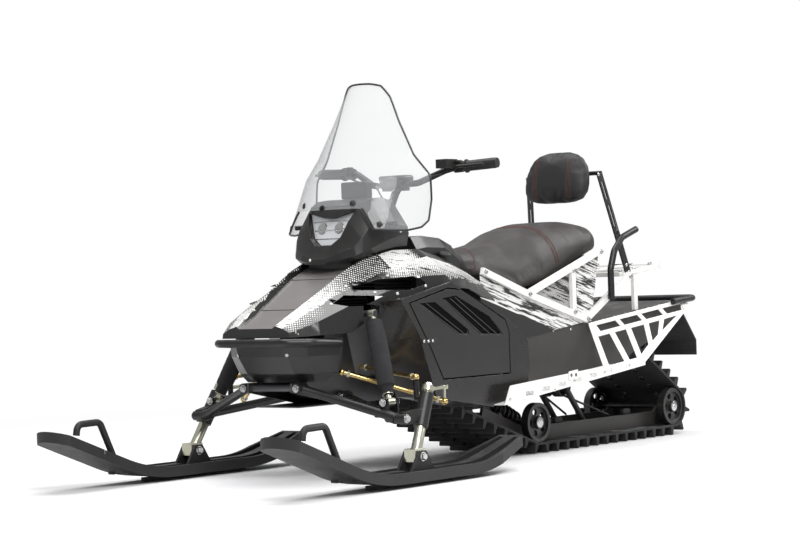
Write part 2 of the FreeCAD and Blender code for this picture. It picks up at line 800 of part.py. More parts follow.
# windows of the truss, in the same shares
TRUSS_WINDOWS = [
    [(0.05, 0.07), (0.25, 0.07), (0.25, 0.20), (0.04, 0.20)],
    [(0.29, 0.07), (0.48, 0.07), (0.48, 0.20), (0.29, 0.20)],
    [(0.52, 0.07), (0.71, 0.07), (0.71, 0.20), (0.52, 0.20)],
    [(0.75, 0.07), (0.96, 0.07), (0.94, 0.20), (0.75, 0.20)],
    [(-0.02, 0.28), (0.10, 0.28), (0.01, 0.84), (-0.15, 0.84)],
    [(0.15, 0.28), (0.27, 0.28), (0.14, 0.84), (0.06, 0.84)],
    [(0.32, 0.28), (0.46, 0.28), (0.34, 0.66), (0.20, 0.80)],
    [(0.51, 0.28), (0.63, 0.28), (0.50, 0.53), (0.40, 0.62)],
    [(0.68, 0.28), (0.83, 0.27), (0.57, 0.48)],
]


def make_truss():
    """The laser-cut plate from the deck edge down and out to the board's rear corner."""
    outer = float(tunnel_half + S.turn_clearance)
    front = point(S.tunnel_bend_x, outer, deck_z(S.tunnel_bend_x))
    rear = point(S.tunnel_rear_x, outer, S.deck_rear_z)
    corner = point(S.board_corner_x, S.board_outer_y, S.board_rear_z)
    along = rear - front
    direction = along.normalize() * 1
    along = rear - front
    down = corner - front
    down = down - direction * down.dot(direction)
    thick = float(S.sheet_metal)
    normal = direction.cross(down).normalize() * -thick
    if normal.y < 0:
        normal = normal * -1

    def prism(shares, low, high):
        corners = [front + along * a + down * b + normal * low for a, b in shares]
        return Part.Face(Part.makePolygon(corners + corners[:1])).extrude(normal * (high - low))

    plate = prism(TRUSS_OUTLINE, 0, 1)
    for shares in TRUSS_WINDOWS:
        plate = plate.cut(prism(shares, -1, 2))
    return plate


board_plate = make_board()
doc.recompute()
board_left = fuse("BoardLeft", [board_plate, shaped("Side_truss", make_truss())])
node(board_left, "running_board_left")
node(mirrored("BoardRight", board_left), "running_board_right")


# Seat base, white frame and seat

skirt_inside = tunnel_width + 2 * S.turn_clearance
skirt_outside = skirt_inside + 2 * S.panel
base = new_body("SeatBase")
pad(base, "base_block", "XZ", [[(20, 382), (20, 640), (-250, 556), (-708, 700, 8), (-648, 456),
                                (-599, 453)]],
    0, skirt_outside)
pocket(base, "base_hollow", "XZ", [[(20 - S.panel, 300), (20 - S.panel, 637), (-249, 552), (-702, 694, 8),
                                    (-648 + S.panel, S.tunnel_low_top_z + S.turn_clearance), (-650,
                                                                                              300)]], 0, skirt_inside)
pocket(base, "base_tunnel_notch", "XZ", [[(0, 300), (30, 300), (30, S.tunnel_low_top_z + S.turn_clearance),
                                         (0, S.tunnel_low_top_z + S.turn_clearance)]], 0, skirt_inside)
node(base, "seat_base")

bar_y = skirt_outside / 2 + S.turn_clearance + S.frame_bar_thickness / 2
# x, z, x, z: ends of the white bars beside the seat
FRAME_BARS = [(17, 650, -250, 562), (-250, 562, -606, 462), (-250, 566, -712, 712), (-524, 652, -524, 484)]


leg_ends = [point(-606, bar_y, 466), point(S.rack_front_x - 22, bar_y, S.rack_front_z + 6)]


def rack_leg(side):
    """The bar from the seat frame up to the rack, with a bolt boss that meets the rack's side."""
    ends = [Vec(p.x, p.y * side, p.z) for p in leg_ends]
    bar = strip(ends[0], ends[1], S.frame_bar, S.frame_bar_thickness, Vec(0, 1, 0))
    boss_end = (float(S.rack_width) / 2 + float(S.turn_clearance)) * side
    boss = strut(ends[1] - Vec(0, 0, 0), Vec(ends[1].x, boss_end, ends[1].z), 8)
    return bar.fuse(boss)


def frame_side(side):
    pieces = [rack_leg(side)]
    for x, z, x2, z2 in FRAME_BARS:
        ends = [point(x, bar_y * side, z), point(x2, bar_y * side, z2)]
        pieces.append(strip(ends[0], ends[1], S.frame_bar, S.frame_bar_thickness, Vec(0, 1, 0)))
    return pieces[0].multiFuse(pieces[1:])


node(group("SeatFrame", [shaped("Frame_left", frame_side(1)), shaped("Frame_right", frame_side(-1))]),
     "seat_frame")

# x, half width at the bottom, bottom, half width in the middle, height there, half width on top, top
SEAT_SECTIONS = [
    (-30, 72, 648, 84, 690, 62, 731),
    (-144, 110, 606, 124, 668, 84, 735),
    (-262, 168, 574, 176, 652, 96, 764),
    (-389, 186, 603, 190, 700, 112, 798),
    (-520, 180, 645, 186, 730, 122, 811),
    (-650, 166, 685, 174, 755, 126, 813),
    (-748, 160, 713, 168, 762, 120, 811),
    (-786, 146, 722, 150, 758, 104, 790),
]


def seat_section(x, low_w, low, mid_w, mid, top_w, top):
    crown = 8
    half = [(low_w, low - 1.5), (mid_w, mid), (top_w, top - crown), (top_w * 0.45, top)]
    right = [(-y, z) for y, z in reversed(half)]
    return [point(x, y, z) for y, z in half + right]


node(shaped("Seat", loft([seat_section(*row) for row in SEAT_SECTIONS])), "seat")


# Rack, backrest, rails and tail

rack = new_body("RearRack")
rack_half = S.rack_width / 2
RACK_LINE = [(S.rack_front_x, S.rack_front_z), (S.rack_rear_x, S.rack_rear_z)]
pad(rack, "rack_plate", "XZ", [RACK_LINE + [(x, z + S.rack_thickness) for x, z in reversed(RACK_LINE)]],
    0, S.rack_width)
rim = sized(26)
windows = []
bay = (S.rack_front_x - S.rack_rear_x - rim) / 3
front = S.rack_front_x - rim
back = front - bay + rim
for side in (-1, 1):
    edges = [rim / 2 * side, (rack_half - rim) * side]
    windows.append([(front, edges[0]), (front, edges[1]), (back, edges[1]), (back, edges[0])])
repeat(rack, pocket(rack, "rack_windows", "XY", windows, (S.rack_front_z + S.rack_rear_z) / 2, 120), "X",
       -bay, 3)
for side in (-1, 1):
    corner = [(S.rack_rear_x - 5, (rack_half + 5) * side), (S.rack_rear_x - 5, (rack_half - 70) * side),
              (S.rack_rear_x + 24, (rack_half - 18) * side), (S.rack_rear_x + 90, (rack_half + 5) * side)]
    pocket(rack, "rack_corner_%d" % (side + 1), "XY", [corner], (S.rack_front_z + S.rack_rear_z) / 2, 120)
doc.recompute()
post_y = rack_half - S.frame_bar_thickness / 2 - 3
rack_parts = [rack]
for side in (-1, 1):
    top_z = S.rack_front_z + (S.rack_rear_z - S.rack_front_z) * 0.33 + 4
    ends = [point(-984, post_y * side, deck_z(sized(-997)) + S.turn_clearance),
            point(-984, post_y * side, top_z)]
    rack_parts.append(shaped("rack_post_%d" % (side + 1),
                             strip(ends[0], ends[1], S.frame_bar, S.frame_bar_thickness,
                                                              Vec(0, 1, 0))))
node(fuse("RackSet", rack_parts), "rear_rack")

flap = new_body("SnowFlap")
flap_top = (S.tunnel_rear_x - S.turn_clearance, S.deck_rear_z - 4)
flap_knee = (S.flap_x + S.flap_thickness, S.flap_low_z + 55)
pad(flap, "flap_sheet", "XZ", [[flap_top, (flap_top[0], flap_top[1] - 12), flap_knee,
                                (S.flap_x + S.flap_thickness, S.flap_low_z), (S.flap_x, S.flap_low_z),
                                (S.flap_x, flap_knee[1] + 4)]], 0, S.track_width)
hitch_z = deck_z(S.tunnel_rear_x + 60) - S.sheet_metal - S.turn_clearance - 4
pocket(flap, "flap_slot", "XZ", [[(S.tunnel_rear_x - 60, hitch_z - 4.5),
                                  (S.tunnel_rear_x + 5, hitch_z - 4.5),
                                  (S.tunnel_rear_x + 5, hitch_z + 4.5), (S.tunnel_rear_x - 60,
                                                                         hitch_z + 4.5)]], 0, 61)
node(flap, "snow_flap")

tail_y = tunnel_half + S.turn_clearance + S.sheet_metal + S.rear_tube_radius + 4.7
tail_path = [point(-1180, tail_y, S.deck_rear_z - 4), point(S.tunnel_rear_x - 84, tail_y, S.deck_rear_z + 8),
             point(S.tunnel_rear_x - 84, -tail_y, S.deck_rear_z + 8), point(-1180, -tail_y,
                                                                            S.deck_rear_z - 4)]
node(shaped("RearBumper", tube(tail_path, S.rear_tube_radius, 45)), "rear_bumper")

hitch = new_body("TowHitch")
hitch_x = S.tunnel_rear_x - 40
pad(hitch, "hitch_plate", "XY", [[(S.tunnel_rear_x + 60, -30), (S.tunnel_rear_x + 60, 30),
                                  (hitch_x - 26, 26, 12),
                                  (hitch_x - 26, -26, 12)]], hitch_z, 8)
pocket(hitch, "hitch_pin_bore", "XY", [(hitch_x, 0, S.hitch_bore / 2)], hitch_z, 30)
node(hitch, "tow_hitch")

lamp = new_body("TailLamp")
lamp_x = S.rack_rear_x - S.turn_clearance
pad(lamp, "lamp_block", "XZ", [[(lamp_x, S.rack_rear_z + 1), (lamp_x, S.rack_rear_z + S.rack_thickness - 1),
                                (lamp_x - 22, S.rack_rear_z + S.rack_thickness - 3), (lamp_x - 22,
                                                                                      S.rack_rear_z + 3)]], 0, 110)
node(lamp, "tail_lamp")

# Backrest: two bent flat struts, a cross plate behind the pad, and the pad
strut_y = rack_half + S.turn_clearance + S.strut_thickness / 2
strut_low = point(S.rack_front_x - 53, strut_y, S.rack_front_z + 12)
strut_bend = point(S.rack_front_x + 12, strut_y, S.pad_z - 221)
strut_top = point(S.pad_x - 38, S.pad_width / 2 + 14, S.pad_z + 8)


def backrest_side(side):
    """One slotted flat strut, and its half of the tube behind the pad."""
    spots = [Vec(p.x, p.y * side, p.z) for p in (strut_low, strut_bend, strut_top)]
    thick = S.strut_thickness
    lower = strip(spots[0], spots[1], S.strut_width, thick, Vec(0, 1, 0))
    upper = strip(spots[1], spots[2], S.strut_width, thick, Vec(0, 1, 0))
    along = spots[2] - spots[1]
    for low, high in ((0.14, 0.48), (0.58, 0.86)):
        upper = upper.cut(strip(spots[1] + along * low, spots[1] + along * high, S.strut_width / 3, 40,
                                Vec(0, 1, 0)))
    elbow = Part.makeCylinder(float(S.strut_width) / 2, float(thick),
                              spots[1] - Vec(0, float(thick) / 2, 0), Vec(0, 1, 0))
    behind = point(S.pad_x - 51.1, 0, S.pad_z + 10)
    tie = strut(Vec(behind.x, spots[2].y, behind.z), behind, 8)
    return [lower, upper, elbow, tie]


pieces = backrest_side(1) + backrest_side(-1)
node(shaped("BackrestFrame", pieces[0].multiFuse(pieces[1:])), "backrest_frame")

# height off the pad's middle, half width, half thickness
PAD_SECTIONS = [(-0.5, 0.34, 0.30), (-0.44, 0.44, 0.42), (-0.15, 0.5, 0.5), (0.2, 0.46, 0.48),
                (0.42, 0.33, 0.38),
                (0.5, 0.2, 0.2)]


def pad_section(share, wide, deep):
    z = S.pad_z + S.pad_height * share
    x = S.pad_x - S.pad_height * share * 0.16
    half_w = S.pad_width * wide
    half_d = S.pad_thickness * deep
    shape = [(0.5, 1), (1, 0.45), (1, -0.45), (0.5, -1), (-0.5, -1), (-1, -0.45), (-1, 0.45), (-0.5, 1)]
    return [point(x + half_d * b, half_w * a, z) for a, b in shape]


node(shaped("BackrestPad", loft([pad_section(*row) for row in PAD_SECTIONS])), "backrest_pad")


rail_foot_y = float(bar_y + S.frame_bar_thickness / 2 + S.rear_tube_radius + S.turn_clearance)


def grab_rail(side):
    # x, y, z along the rail
    route = [(-744, rail_foot_y, 530), (-744, rail_foot_y, 640), (-772, rail_foot_y, 708),
             (-826, rail_foot_y, 756),
             (-912, 244, 786)]
    return tube([point(x, y * side, z) for x, y, z in route], S.rear_tube_radius, 40)


node(group("GrabRails", [shaped("Grab_left", grab_rail(1)), shaped("Grab_right", grab_rail(-1))]),
     "grab_rails")


# Hood, console, pod, windshield

# x, then half width and height of: centre panel edge, crest, lower edge of the band, side, lower edge
HOOD_SECTIONS = [
    (932, 70, 491, 82, 499, 112, 491, 140, 476, 143, 462),
    (846, 78, 530, 92, 545, 142, 535, 188, 508, 200, 466),
    (731, 94, 590, 110, 609, 158, 584, 218, 552, 226, 470),
    (631, 104, 645, 118, 665, 168, 618, 246, 580, 248, 520),
    (540, 112, 680, 124, 700, 180, 648, 268, 606, 274, 560),
    (430, 140, 712, 160, 728, 205, 690, 288, 640, 292, 598),
    (330, 160, 716, 185, 730, 225, 704, 296, 642, 300, 606),
    (200, 140, 694, 165, 706, 210, 680, 282, 628, 296, 592),
    (110, 132, 672, 150, 684, 192, 660, 262, 606, 288, 562),
    (28, 122, 650, 138, 656, 172, 640, 230, 612, 276, 547),
]


def hood_section(row, inset=0):
    x, a, az, c, cz, b, bz, s, sz, low, lz = row
    outer = [(a, az - inset), (c - inset * 0.3, cz - inset * 1.2), (b - inset * 0.8, bz - inset * 1.2),
             (s - inset * 1.2, sz), (low - inset * 1.3, lz - inset * 1.6)]
    if inset:
        outer.append((low - inset * 1.3, lz - 60))
    else:
        outer.append((low - 1, lz - 1))
    right = [(-y, z) for y, z in reversed(outer)]
    return [Vec(x, y, z) for y, z in outer + right]


wall = float(S.panel)
hood_shape = loft([hood_section(row) for row in HOOD_SECTIONS])
inner_rows = [list(row) for row in HOOD_SECTIONS]
inner_rows[0][0] -= wall
inner_rows[-1][0] -= 40
hood_shape = hood_shape.cut(loft([hood_section(row, wall) for row in inner_rows]))
opening = [(372, 112), (250, 133), (90, 121), (0, 108)]
opening = [Vec(x, y, 500) for x, y in opening] + [Vec(x, -y, 500) for x, y in reversed(opening)]
hood_shape = hood_shape.cut(Part.Face(Part.makePolygon(opening + opening[:1])).extrude(Vec(0, 0, 400)))
# corners (x, z) of the air vents in each flank
HOOD_VENTS = [
    [(758, 562), (701, 587), (595, 580), (673, 551), (728, 551)],
    [(658, 606), (556, 634), (460, 640), (417, 613), (496, 596), (640, 601)],
]
for vent in HOOD_VENTS:
    for side in (-1, 1):
        low_y, high_y = (150, 330) if side > 0 else (-330, -150)
        corners = [Vec(x, 0, z) for x, z in vent]
        hood_shape = hood_shape.cut(between(Part.Face(Part.makePolygon(corners + corners[:1])), low_y,
                                            high_y))
shock_low = point(S.shock_low_x, S.shock_low_y, S.shock_low_z)
shock_top = point(S.shock_top_x, S.shock_top_y, S.shock_top_z)
notch = strut(shock_low, shock_top + (shock_top - shock_low) * 0.1, float(S.shock_radius) + 5)
hood_shape = hood_shape.cut(notch).cut(flipped(notch))
node(shaped("Hood", hood_shape), "hood")

# x, half width low, low, half width middle, middle, half width top, top
CONSOLE_SECTIONS = [
    (262, 122, 604, 129, 730, 104, 772),
    (200, 124, 600, 127, 736, 100, 776),
    (90, 116, 588, 117, 734, 92, 767),
    (-6, 104, 580, 106, 690, 70, 742),
    (-27, 100, 645, 102, 684, 64, 730),
]


def three_step_section(x, low_w, low, mid_w, mid, top_w, top):
    half = [(low_w, low), (mid_w, mid), (top_w, top)]
    return [Vec(x, y, z) for y, z in half + [(-y, z) for y, z in reversed(half)]]


console_shape = loft([three_step_section(*row) for row in CONSOLE_SECTIONS[:-1]])
base_front = 20 + 0.3
keep = Part.makeBox(300, 400, 300, Vec(base_front, -200, 560))
nose_keep = Part.makeBox(60, 400, 200, Vec(base_front - 46, -200, 641))
console_shape = console_shape.common(keep.fuse(nose_keep))
node(shaped("Console", console_shape), "console")

# x, half width low, low, half width middle, middle, half width top, top
POD_SECTIONS = [
    (616, 24, 688, 36, 695, 26, 703, 8, 705),
    (600, 72, 690, 92, 704, 80, 722, 30, 728),
    (580, 108, 695, 130, 712, 122, 742, 50, 775),
    (560, 126, 702, 148, 722, 140, 770, 72, 838),
    (535, 140, 712, 158, 735, 150, 800, 92, 880),
    (480, 155, 728, 170, 756, 165, 815, 112, 898),
    (420, 165, 738, 176, 772, 172, 815, 120, 904.2),
    (358, 165, 741, 176, 782, 172, 805, 112, 890),
]


def four_step_section(x, low_w, low, chin_w, chin, side_w, side, top_w, top):
    half = [(low_w, low), (chin_w, chin), (side_w, side), (top_w, top)]
    return [Vec(x, y, z) for y, z in half + [(-y, z) for y, z in reversed(half)]]


pod_shape = loft([four_step_section(*row) for row in POD_SECTIONS])
# x, z of the foot that stands on the hood's centre panel
plinth = [(560, 672.6), (540, 680.3), (470, 700.7), (470, 735), (560, 710)]
plinth = [Vec(x, 0, z) for x, z in plinth]
pod_shape = pod_shape.fuse(between(Part.Face(Part.makePolygon(plinth + plinth[:1])), -90, 90))
# (y, z) corners of the lens seen from the front, and its depth along the machine
LENS = [(31, 751), (62, 776), (97, 858), (14, 838), (-14, 838), (-97, 858), (-62, 776), (-31, 751)]
lens_back = 505


def lens_prism(front, back, grow):
    corners = []
    for y, z in LENS:
        corners.append(Vec(back, y + math.copysign(grow, y), z + (grow if z > 800 else -grow)))
    return Part.Face(Part.makePolygon(corners + corners[:1])).extrude(Vec(front - back, 0, 0))


pod_shape = pod_shape.cut(lens_prism(700, lens_back, 2))
lens_side = [(lens_back + 0.3, 742), (566, 742), (528, 868), (lens_back + 0.3, 868)]
lens_side = [Vec(x, 0, z) for x, z in lens_side]
lens_block = between(Part.Face(Part.makePolygon(lens_side + lens_side[:1])), -110, 110)
node(shaped("Headlamp", lens_block.common(lens_prism(700, lens_back, 1.7))), "headlamp")

# height, radius of the wrapped sheet
SCREEN_SECTIONS = [(780, 252), (972, 248), (1040, 190), (1160, 136), (1287, 98)]
# x, z of the windshield's outline seen from the side
SCREEN_OUTLINE = [(700, 866), (548, 866), (546, 794), (450, 790), (385, 800), (345, 822), (325, 890),
                  (322, 968),
                  (333, 1043), (337, 1150), (338, 1250), (350, 1280), (480, 1286), (700, 900)]


def screen_ring(z, radius, inset):
    share = (z - float(S.screen_base_z)) / (float(S.screen_top_z) - float(S.screen_base_z))
    front = float(S.screen_base_x) + (float(S.screen_top_x) - float(S.screen_base_x)) * share
    middle = Vec(front - radius, 0, z)
    spots = []
    for degrees in (-96, 0, 96):
        angle = math.radians(degrees)
        spots.append(middle + Vec(math.cos(angle), math.sin(angle), 0) * (radius - inset))
    return spots


boss_z = 815
boss_radius = SCREEN_SECTIONS[0][1] + (SCREEN_SECTIONS[1][1] - SCREEN_SECTIONS[0][1]) * (boss_z - 780) / 192
bosses = []
for degrees in (-62, 62):
    front, middle_spot, other = screen_ring(boss_z, boss_radius, 0)
    centre = middle_spot - Vec(boss_radius, 0, 0)
    outward = Vec(math.cos(math.radians(degrees)), math.sin(math.radians(degrees)), 0)
    bosses.append(strut(centre + outward * (boss_radius - 110), centre + outward * (boss_radius - 6.3), 8))
pod_shape = pod_shape.multiFuse(bosses)
node(shaped("LampPod", pod_shape), "lamp_pod")


def screen_wire(z, radius):
    outer = screen_ring(z, radius, 0)
    inner = screen_ring(z, radius, float(S.screen_thickness))
    edges = [Part.Arc(*outer).toShape(), Part.LineSegment(outer[2], inner[2]).toShape(),
             Part.Arc(*reversed(inner)).toShape(), Part.LineSegment(inner[0], outer[0]).toShape()]
    return Part.Wire(edges)


screen = Part.makeLoft([screen_wire(z, radius) for z, radius in SCREEN_SECTIONS], True, True)
corners = [Vec(x, 0, z) for x, z in SCREEN_OUTLINE]
screen = screen.common(between(Part.Face(Part.makePolygon(corners + corners[:1])), -300, 300))
node(shaped("Windshield", screen), "windshield")

node(box("Instrument", (392, -55, 904.6), (34, 110, 56)), "instrument")


# Nose pan, bumper, side bodies and service doors

# height, front x, half width of the front, x and half width of the front corner, rear x, rear half width
NOSE_SECTIONS = [
    (455, 922, 100, 880, 162, 748, 206),
    (400, 902, 104, 868, 164, 752, 204),
    (345, 866, 100, 840, 158, 764, 190),
    (316, 832, 84, 820, 142, 776, 150),
]


def nose_section(row, inset=0):
    z, x1, y1, x2, y2, x3, y3 = row
    half = [(x1 - inset, y1 - inset * 0.4), (x2 - inset * 0.7, y2 - inset), (x3, y3 - inset)]
    return [Vec(x, y, z) for x, y in half + [(x, -y) for x, y in reversed(half)]]


nose_shape = loft([nose_section(row) for row in NOSE_SECTIONS])
hollow_rows = [(470,) + NOSE_SECTIONS[0][1:]] + [list(row) for row in NOSE_SECTIONS[1:]]
hollow_rows[-1][0] += 4
hollow_rows = [[row[0], row[1], row[2], row[3], row[4], row[5] - 30, row[6]] for row in hollow_rows]
nose_shape = nose_shape.cut(loft([nose_section(row, 5) for row in hollow_rows]))
node(shaped("NosePan", nose_shape), "nose_pan")

bumper_path = [point(770, 212, 437), point(890, 200, 444), point(952, 138, 446), point(952, -138, 446),
               point(890, -200, 444), point(770, -212, 437)]
bumper_shape = tube(bumper_path, S.bumper_radius, 40)
node(shaped("FrontBumper", bumper_shape), "front_bumper")

# corners of the side body (x, z) at its inner edge and on its outer face
SIDE_INNER = [(500, 250), (560, 420), (620, 560), (340, 600), (20, 530), (-58, 450), (-98, 340),
              (-84, 240), (100, 178)]
SIDE_OUTER = [(430, 243), (508, 450), (600, 568), (335, 618), (10, 476), (-88, 405), (-92, 320),
              (-72, 245), (100, 192)]
# x, z of the service door, counter-clockwise from its front top corner
DOOR = [(560, 556), (355, 600), (275, 593), (40, 486), (20, 445), (20, 300), (392, 300), (460, 414)]
# x, z of the two slanted louvers in the door
LOUVERS = [
    [(507, 553), (423, 555), (249, 458), (244, 441), (312, 444)],
    [(385, 566), (311, 573), (132, 499), (51, 433), (187, 438)],
]
# x, z of the air slot along the foot of each louver
LOUVER_SLOTS = [
    [(300, 474), (258, 452), (254, 446), (304, 448), (336, 466)],
    [(180, 500), (140, 484), (66, 438), (178, 442), (214, 462)],
]


def side_prism(corners, low_y, high_y):
    spots = [Vec(x, 0, z) for x, z in corners]
    return between(Part.Face(Part.makePolygon(spots + spots[:1])), low_y, high_y)


def shrink(corners, gap):
    """Move every side of a loop inwards by a gap."""
    middle_x = sum(c[0] for c in corners) / len(corners)
    middle_z = sum(c[1] for c in corners) / len(corners)
    moved = []
    count = len(corners)
    for i in range(count):
        here = Vec(corners[i][0], corners[i][1], 0)
        before = Vec(corners[i - 1][0], corners[i - 1][1], 0)
        after = Vec(corners[(i + 1) % count][0], corners[(i + 1) % count][1], 0)
        sides = []
        for a, b in ((before, here), (here, after)):
            along = (b - a).normalize()
            inward = Vec(-along.y, along.x, 0)
            if inward.dot(Vec(middle_x, middle_z, 0) - a) < 0:
                inward = inward * -1
            sides.append(inward)
        bisector = (sides[0] + sides[1]).normalize()
        reach = gap / bisector.dot(sides[0])
        spot = here + bisector * reach
        moved.append((spot.x, spot.y))
    return moved


def at_y(corners, y):
    return [Vec(x, y, z) for x, z in corners]


inner_y = float(S.side_inner_y)
outer_y = float(S.side_outer_y)
side_shape = loft([at_y(SIDE_INNER, inner_y), at_y(SIDE_OUTER, outer_y)])
side_hollow = loft([at_y(shrink(SIDE_INNER, wall), inner_y - 1),
                    at_y(shrink(SIDE_OUTER, wall), outer_y - wall)])
side_shape = side_shape.cut(side_hollow)
side_shape = side_shape.cut(side_prism(DOOR, outer_y - 2 * wall, outer_y + 2))
board_slab = [(121.3, 60), (121.3, float(board_z(121.3)) + 3.3),
              (-260, float(board_z(sized(-260))) + 3.3), (-260, 60)]
side_shape = side_shape.cut(side_prism(board_slab, 150, 420)).cut(hood_shape)
side_shape = sorted(side_shape.Solids, key=lambda solid: solid.Volume)[-1]
side_body = node(shaped("SideBodyLeft", side_shape), "side_body_left")
node(mirrored("SideBodyRight", side_body), "side_body_right")

gap = float(S.door_gap)
door_shape = side_prism(shrink(DOOR, gap), outer_y - wall, outer_y)
for louver in LOUVERS:
    door_shape = door_shape.cut(side_prism(louver, outer_y - float(S.louver_depth), outer_y + 2))
for slot in LOUVER_SLOTS:
    door_shape = door_shape.cut(side_prism(slot, outer_y - 2 * wall, outer_y + 2))
# the latch strap's root on the door, and its free part that lies over the gap
strap_root = Part.makeBox(40, 6, 15, Vec(420, outer_y - 2, 422))
strap_end = Part.makeBox(60, 3.7, 15, Vec(440, outer_y + 0.3, 422))
door_shape = door_shape.fuse(strap_root).fuse(strap_end)
side_door = node(shaped("SideDoorLeft", door_shape), "side_door_left")
node(mirrored("SideDoorRight", side_door), "side_door_right")


# Front frame, engine, arms and shocks

frame_y = 92
# x, z of the front frame's side plates
FRAME_PLATE = [(385.3, 236), (640, 236), (876, 286), (876, 315.7), (745, 315.7), (716, 440), (670, 546),
               (620, 546),
               (560, 330), (385.3, 300)]
frame_parts = []
for side in (-1, 1):
    plate = side_prism(FRAME_PLATE, frame_y - 3, frame_y + 3)
    frame_parts.append(plate if side > 0 else flipped(plate))
# x, z, radius, half length of the frame's cross tubes
FRAME_CROSS = [(855, 299, 11, 95), (652, 526, 11, 262), (640, 262, 11, 95), (420, 262, 11, 95)]
for x, z, radius, half in FRAME_CROSS:
    frame_parts.append(Part.makeCylinder(radius, 2 * half, Vec(x, -half, z), Vec(0, 1, 0)))
frame_parts.append(Part.makeBox(455, 2 * frame_y, 4, Vec(385.3, -frame_y, 236)))
post_top = point(S.post_top_x, 0, S.post_top_z)
post_foot = point(S.post_foot_x, 0, S.post_foot_z)
steer_axis = (post_top - post_foot).normalize()
for x in (430, 530):
    for side in (-1, 1):
        frame_parts.append(Part.makeBox(40, 40, 73.7, Vec(x - 20, 60 * side - 20, 236)))
bearing = Part.makeBox(64, 84, 40, Vec(post_foot.x - 36, -42, 548))
bearing = bearing.cut(strut(post_foot - steer_axis * 0.3, post_top,
                            float(S.post_radius) + float(S.turn_clearance)))
frame_parts.append(bearing)
for side in (-1, 1):
    frame_parts.append(strut(Vec(652, 42 * side, 526), Vec(436, 42 * side, 566), 9))
node(shaped("FrontFrame", frame_parts[0].multiFuse(frame_parts[1:]).removeSplitter()), "front_frame")

engine = new_body("Engine")
pad(engine, "engine_block", "XZ", [[(398, 310), (548, 310), (600, 420), (600, 522), (420, 522),
                                    (398, 490)]], 0, 170)
node(engine, "engine")

foot = point(S.foot_x, S.ski_stance / 2, S.foot_z)
kingpin_top = point(S.kingpin_top_x, S.kingpin_top_y, S.kingpin_top_z)
kingpin = (kingpin_top - foot).normalize()
kingpin_length = (kingpin_top - foot).Length
housing_low = foot + kingpin * (kingpin_length * 0.42)
housing_high = foot + kingpin * (kingpin_length * 0.90)


link_outer = point(628, 398, 322)


def make_knuckle():
    """The housing that the spindle turns in, with the arm's bolt lug in front of it."""
    bolt = point(S.knuckle_bolt_x, S.knuckle_bolt_y, S.knuckle_bolt_z)
    tube_part = strut(housing_low, housing_high, S.housing_radius)
    near = foot + kingpin * (kingpin_length * 0.60)
    lug = strip(near, bolt, 40, 26, Vec(0, 1, 0))
    ear = strut(bolt - Vec(0, 20, 0), bolt + Vec(0, 20, 0), 16)
    high = foot + kingpin * (kingpin_length * 0.80)
    elbow = Vec(link_outer.x, link_outer.y, high.z + 4)
    link_ear = strut(high, elbow, 9).multiFuse([Part.makeSphere(9, elbow),
                                                strut(elbow, link_outer - Vec(0, 0, 11.3), 9)])
    bore = strut(foot, kingpin_top + kingpin * 40, float(S.spindle_radius) + float(S.turn_clearance))
    return tube_part.multiFuse([lug, ear, link_ear]).cut(bore)


def make_arm():
    """The lower A-arm of one side: two tubes that meet at the knuckle bolt, and a shock bracket."""
    bolt = point(S.knuckle_bolt_x, S.knuckle_bolt_y - 21.3, S.knuckle_bolt_z)
    outer = bolt + Vec(0, -14, 5)
    front = point(S.arm_front_x, frame_y + 3.3 + 17, S.arm_front_z)
    rear = point(S.arm_rear_x, frame_y + 3.3 + 17, S.arm_rear_z)
    pieces = [strut(front, outer, S.arm_tube_radius), strut(rear, outer, S.arm_tube_radius)]
    for place in (front, rear):
        pieces.append(Part.makeCylinder(17, 44, place - Vec(22, 0, 0), Vec(1, 0, 0)))
    pieces.append(strut(bolt, bolt + Vec(0, -34, 8), 18))
    low_bolt = point(S.shock_low_x, S.shock_low_y, S.shock_low_z)
    under = Vec(low_bolt.x, low_bolt.y, low_bolt.z - 34)
    for step in (-24, 24):
        pieces.append(strip(under + Vec(step, 0, -8), low_bolt + Vec(step, 0, 12), 30, 6, Vec(1, 0, 0)))
    pieces.append(Part.makeCylinder(6, 56, low_bolt - Vec(28, 0, 0), Vec(1, 0, 0)))
    return pieces[0].multiFuse(pieces[1:])


arm_left = make_arm()
knuckle_left = make_knuckle()
node(group("FrontArms", [shaped("Arm_left", arm_left), shaped("Arm_right", flipped(arm_left)),
                         shaped("Knuckle_left", knuckle_left), shaped("Knuckle_right",
                                                                      flipped(knuckle_left))]),
     "arms_and_knuckles")


def make_shock():
    low = point(S.shock_low_x, S.shock_low_y, S.shock_low_z)
    top = point(S.shock_top_x, S.shock_top_y, S.shock_top_z)
    along = top - low
    pieces = [strut(low + along * 0.18, low + along * 0.90, S.shock_radius), strut(low, top, 9),
              strut(low + along * 0.08, low + along * 0.2, 18),
              Part.makeCylinder(13, 36, low - Vec(18, 0, 0), Vec(1, 0, 0)),
              Part.makeCylinder(13, 20, top - Vec(0, 10, 0), Vec(0, 1, 0))]
    body_shape = pieces[0].multiFuse(pieces[1:])
    body_shape = body_shape.cut(Part.makeCylinder(6.3, 60, low - Vec(30, 0, 0), Vec(1, 0, 0)))
    return body_shape.cut(Part.makeCylinder(11.3, 60, top - Vec(0, 30, 0), Vec(0, 1, 0)))


shock_left = make_shock()
node(group("Shocks", [shaped("Shock_left", shock_left), shaped("Shock_right", flipped(shock_left))]),
     "shock_absorbers")

link_inner = point(540, frame_y + 3.3 + 11, 352)


def make_link():
    ball = float(S.ball_radius)
    return strut(link_outer, link_inner, S.rod_radius).multiFuse([Part.makeSphere(ball, link_outer),
                                                                Part.makeSphere(ball, link_inner)])


link_left = make_link()
node(group("UpperLinks", [shaped("Link_left", link_left), shaped("Link_right", flipped(link_left))]),
     "upper_links")


# Steering: handlebar, post, controls

post = strut(post_foot, post_top, S.post_radius)

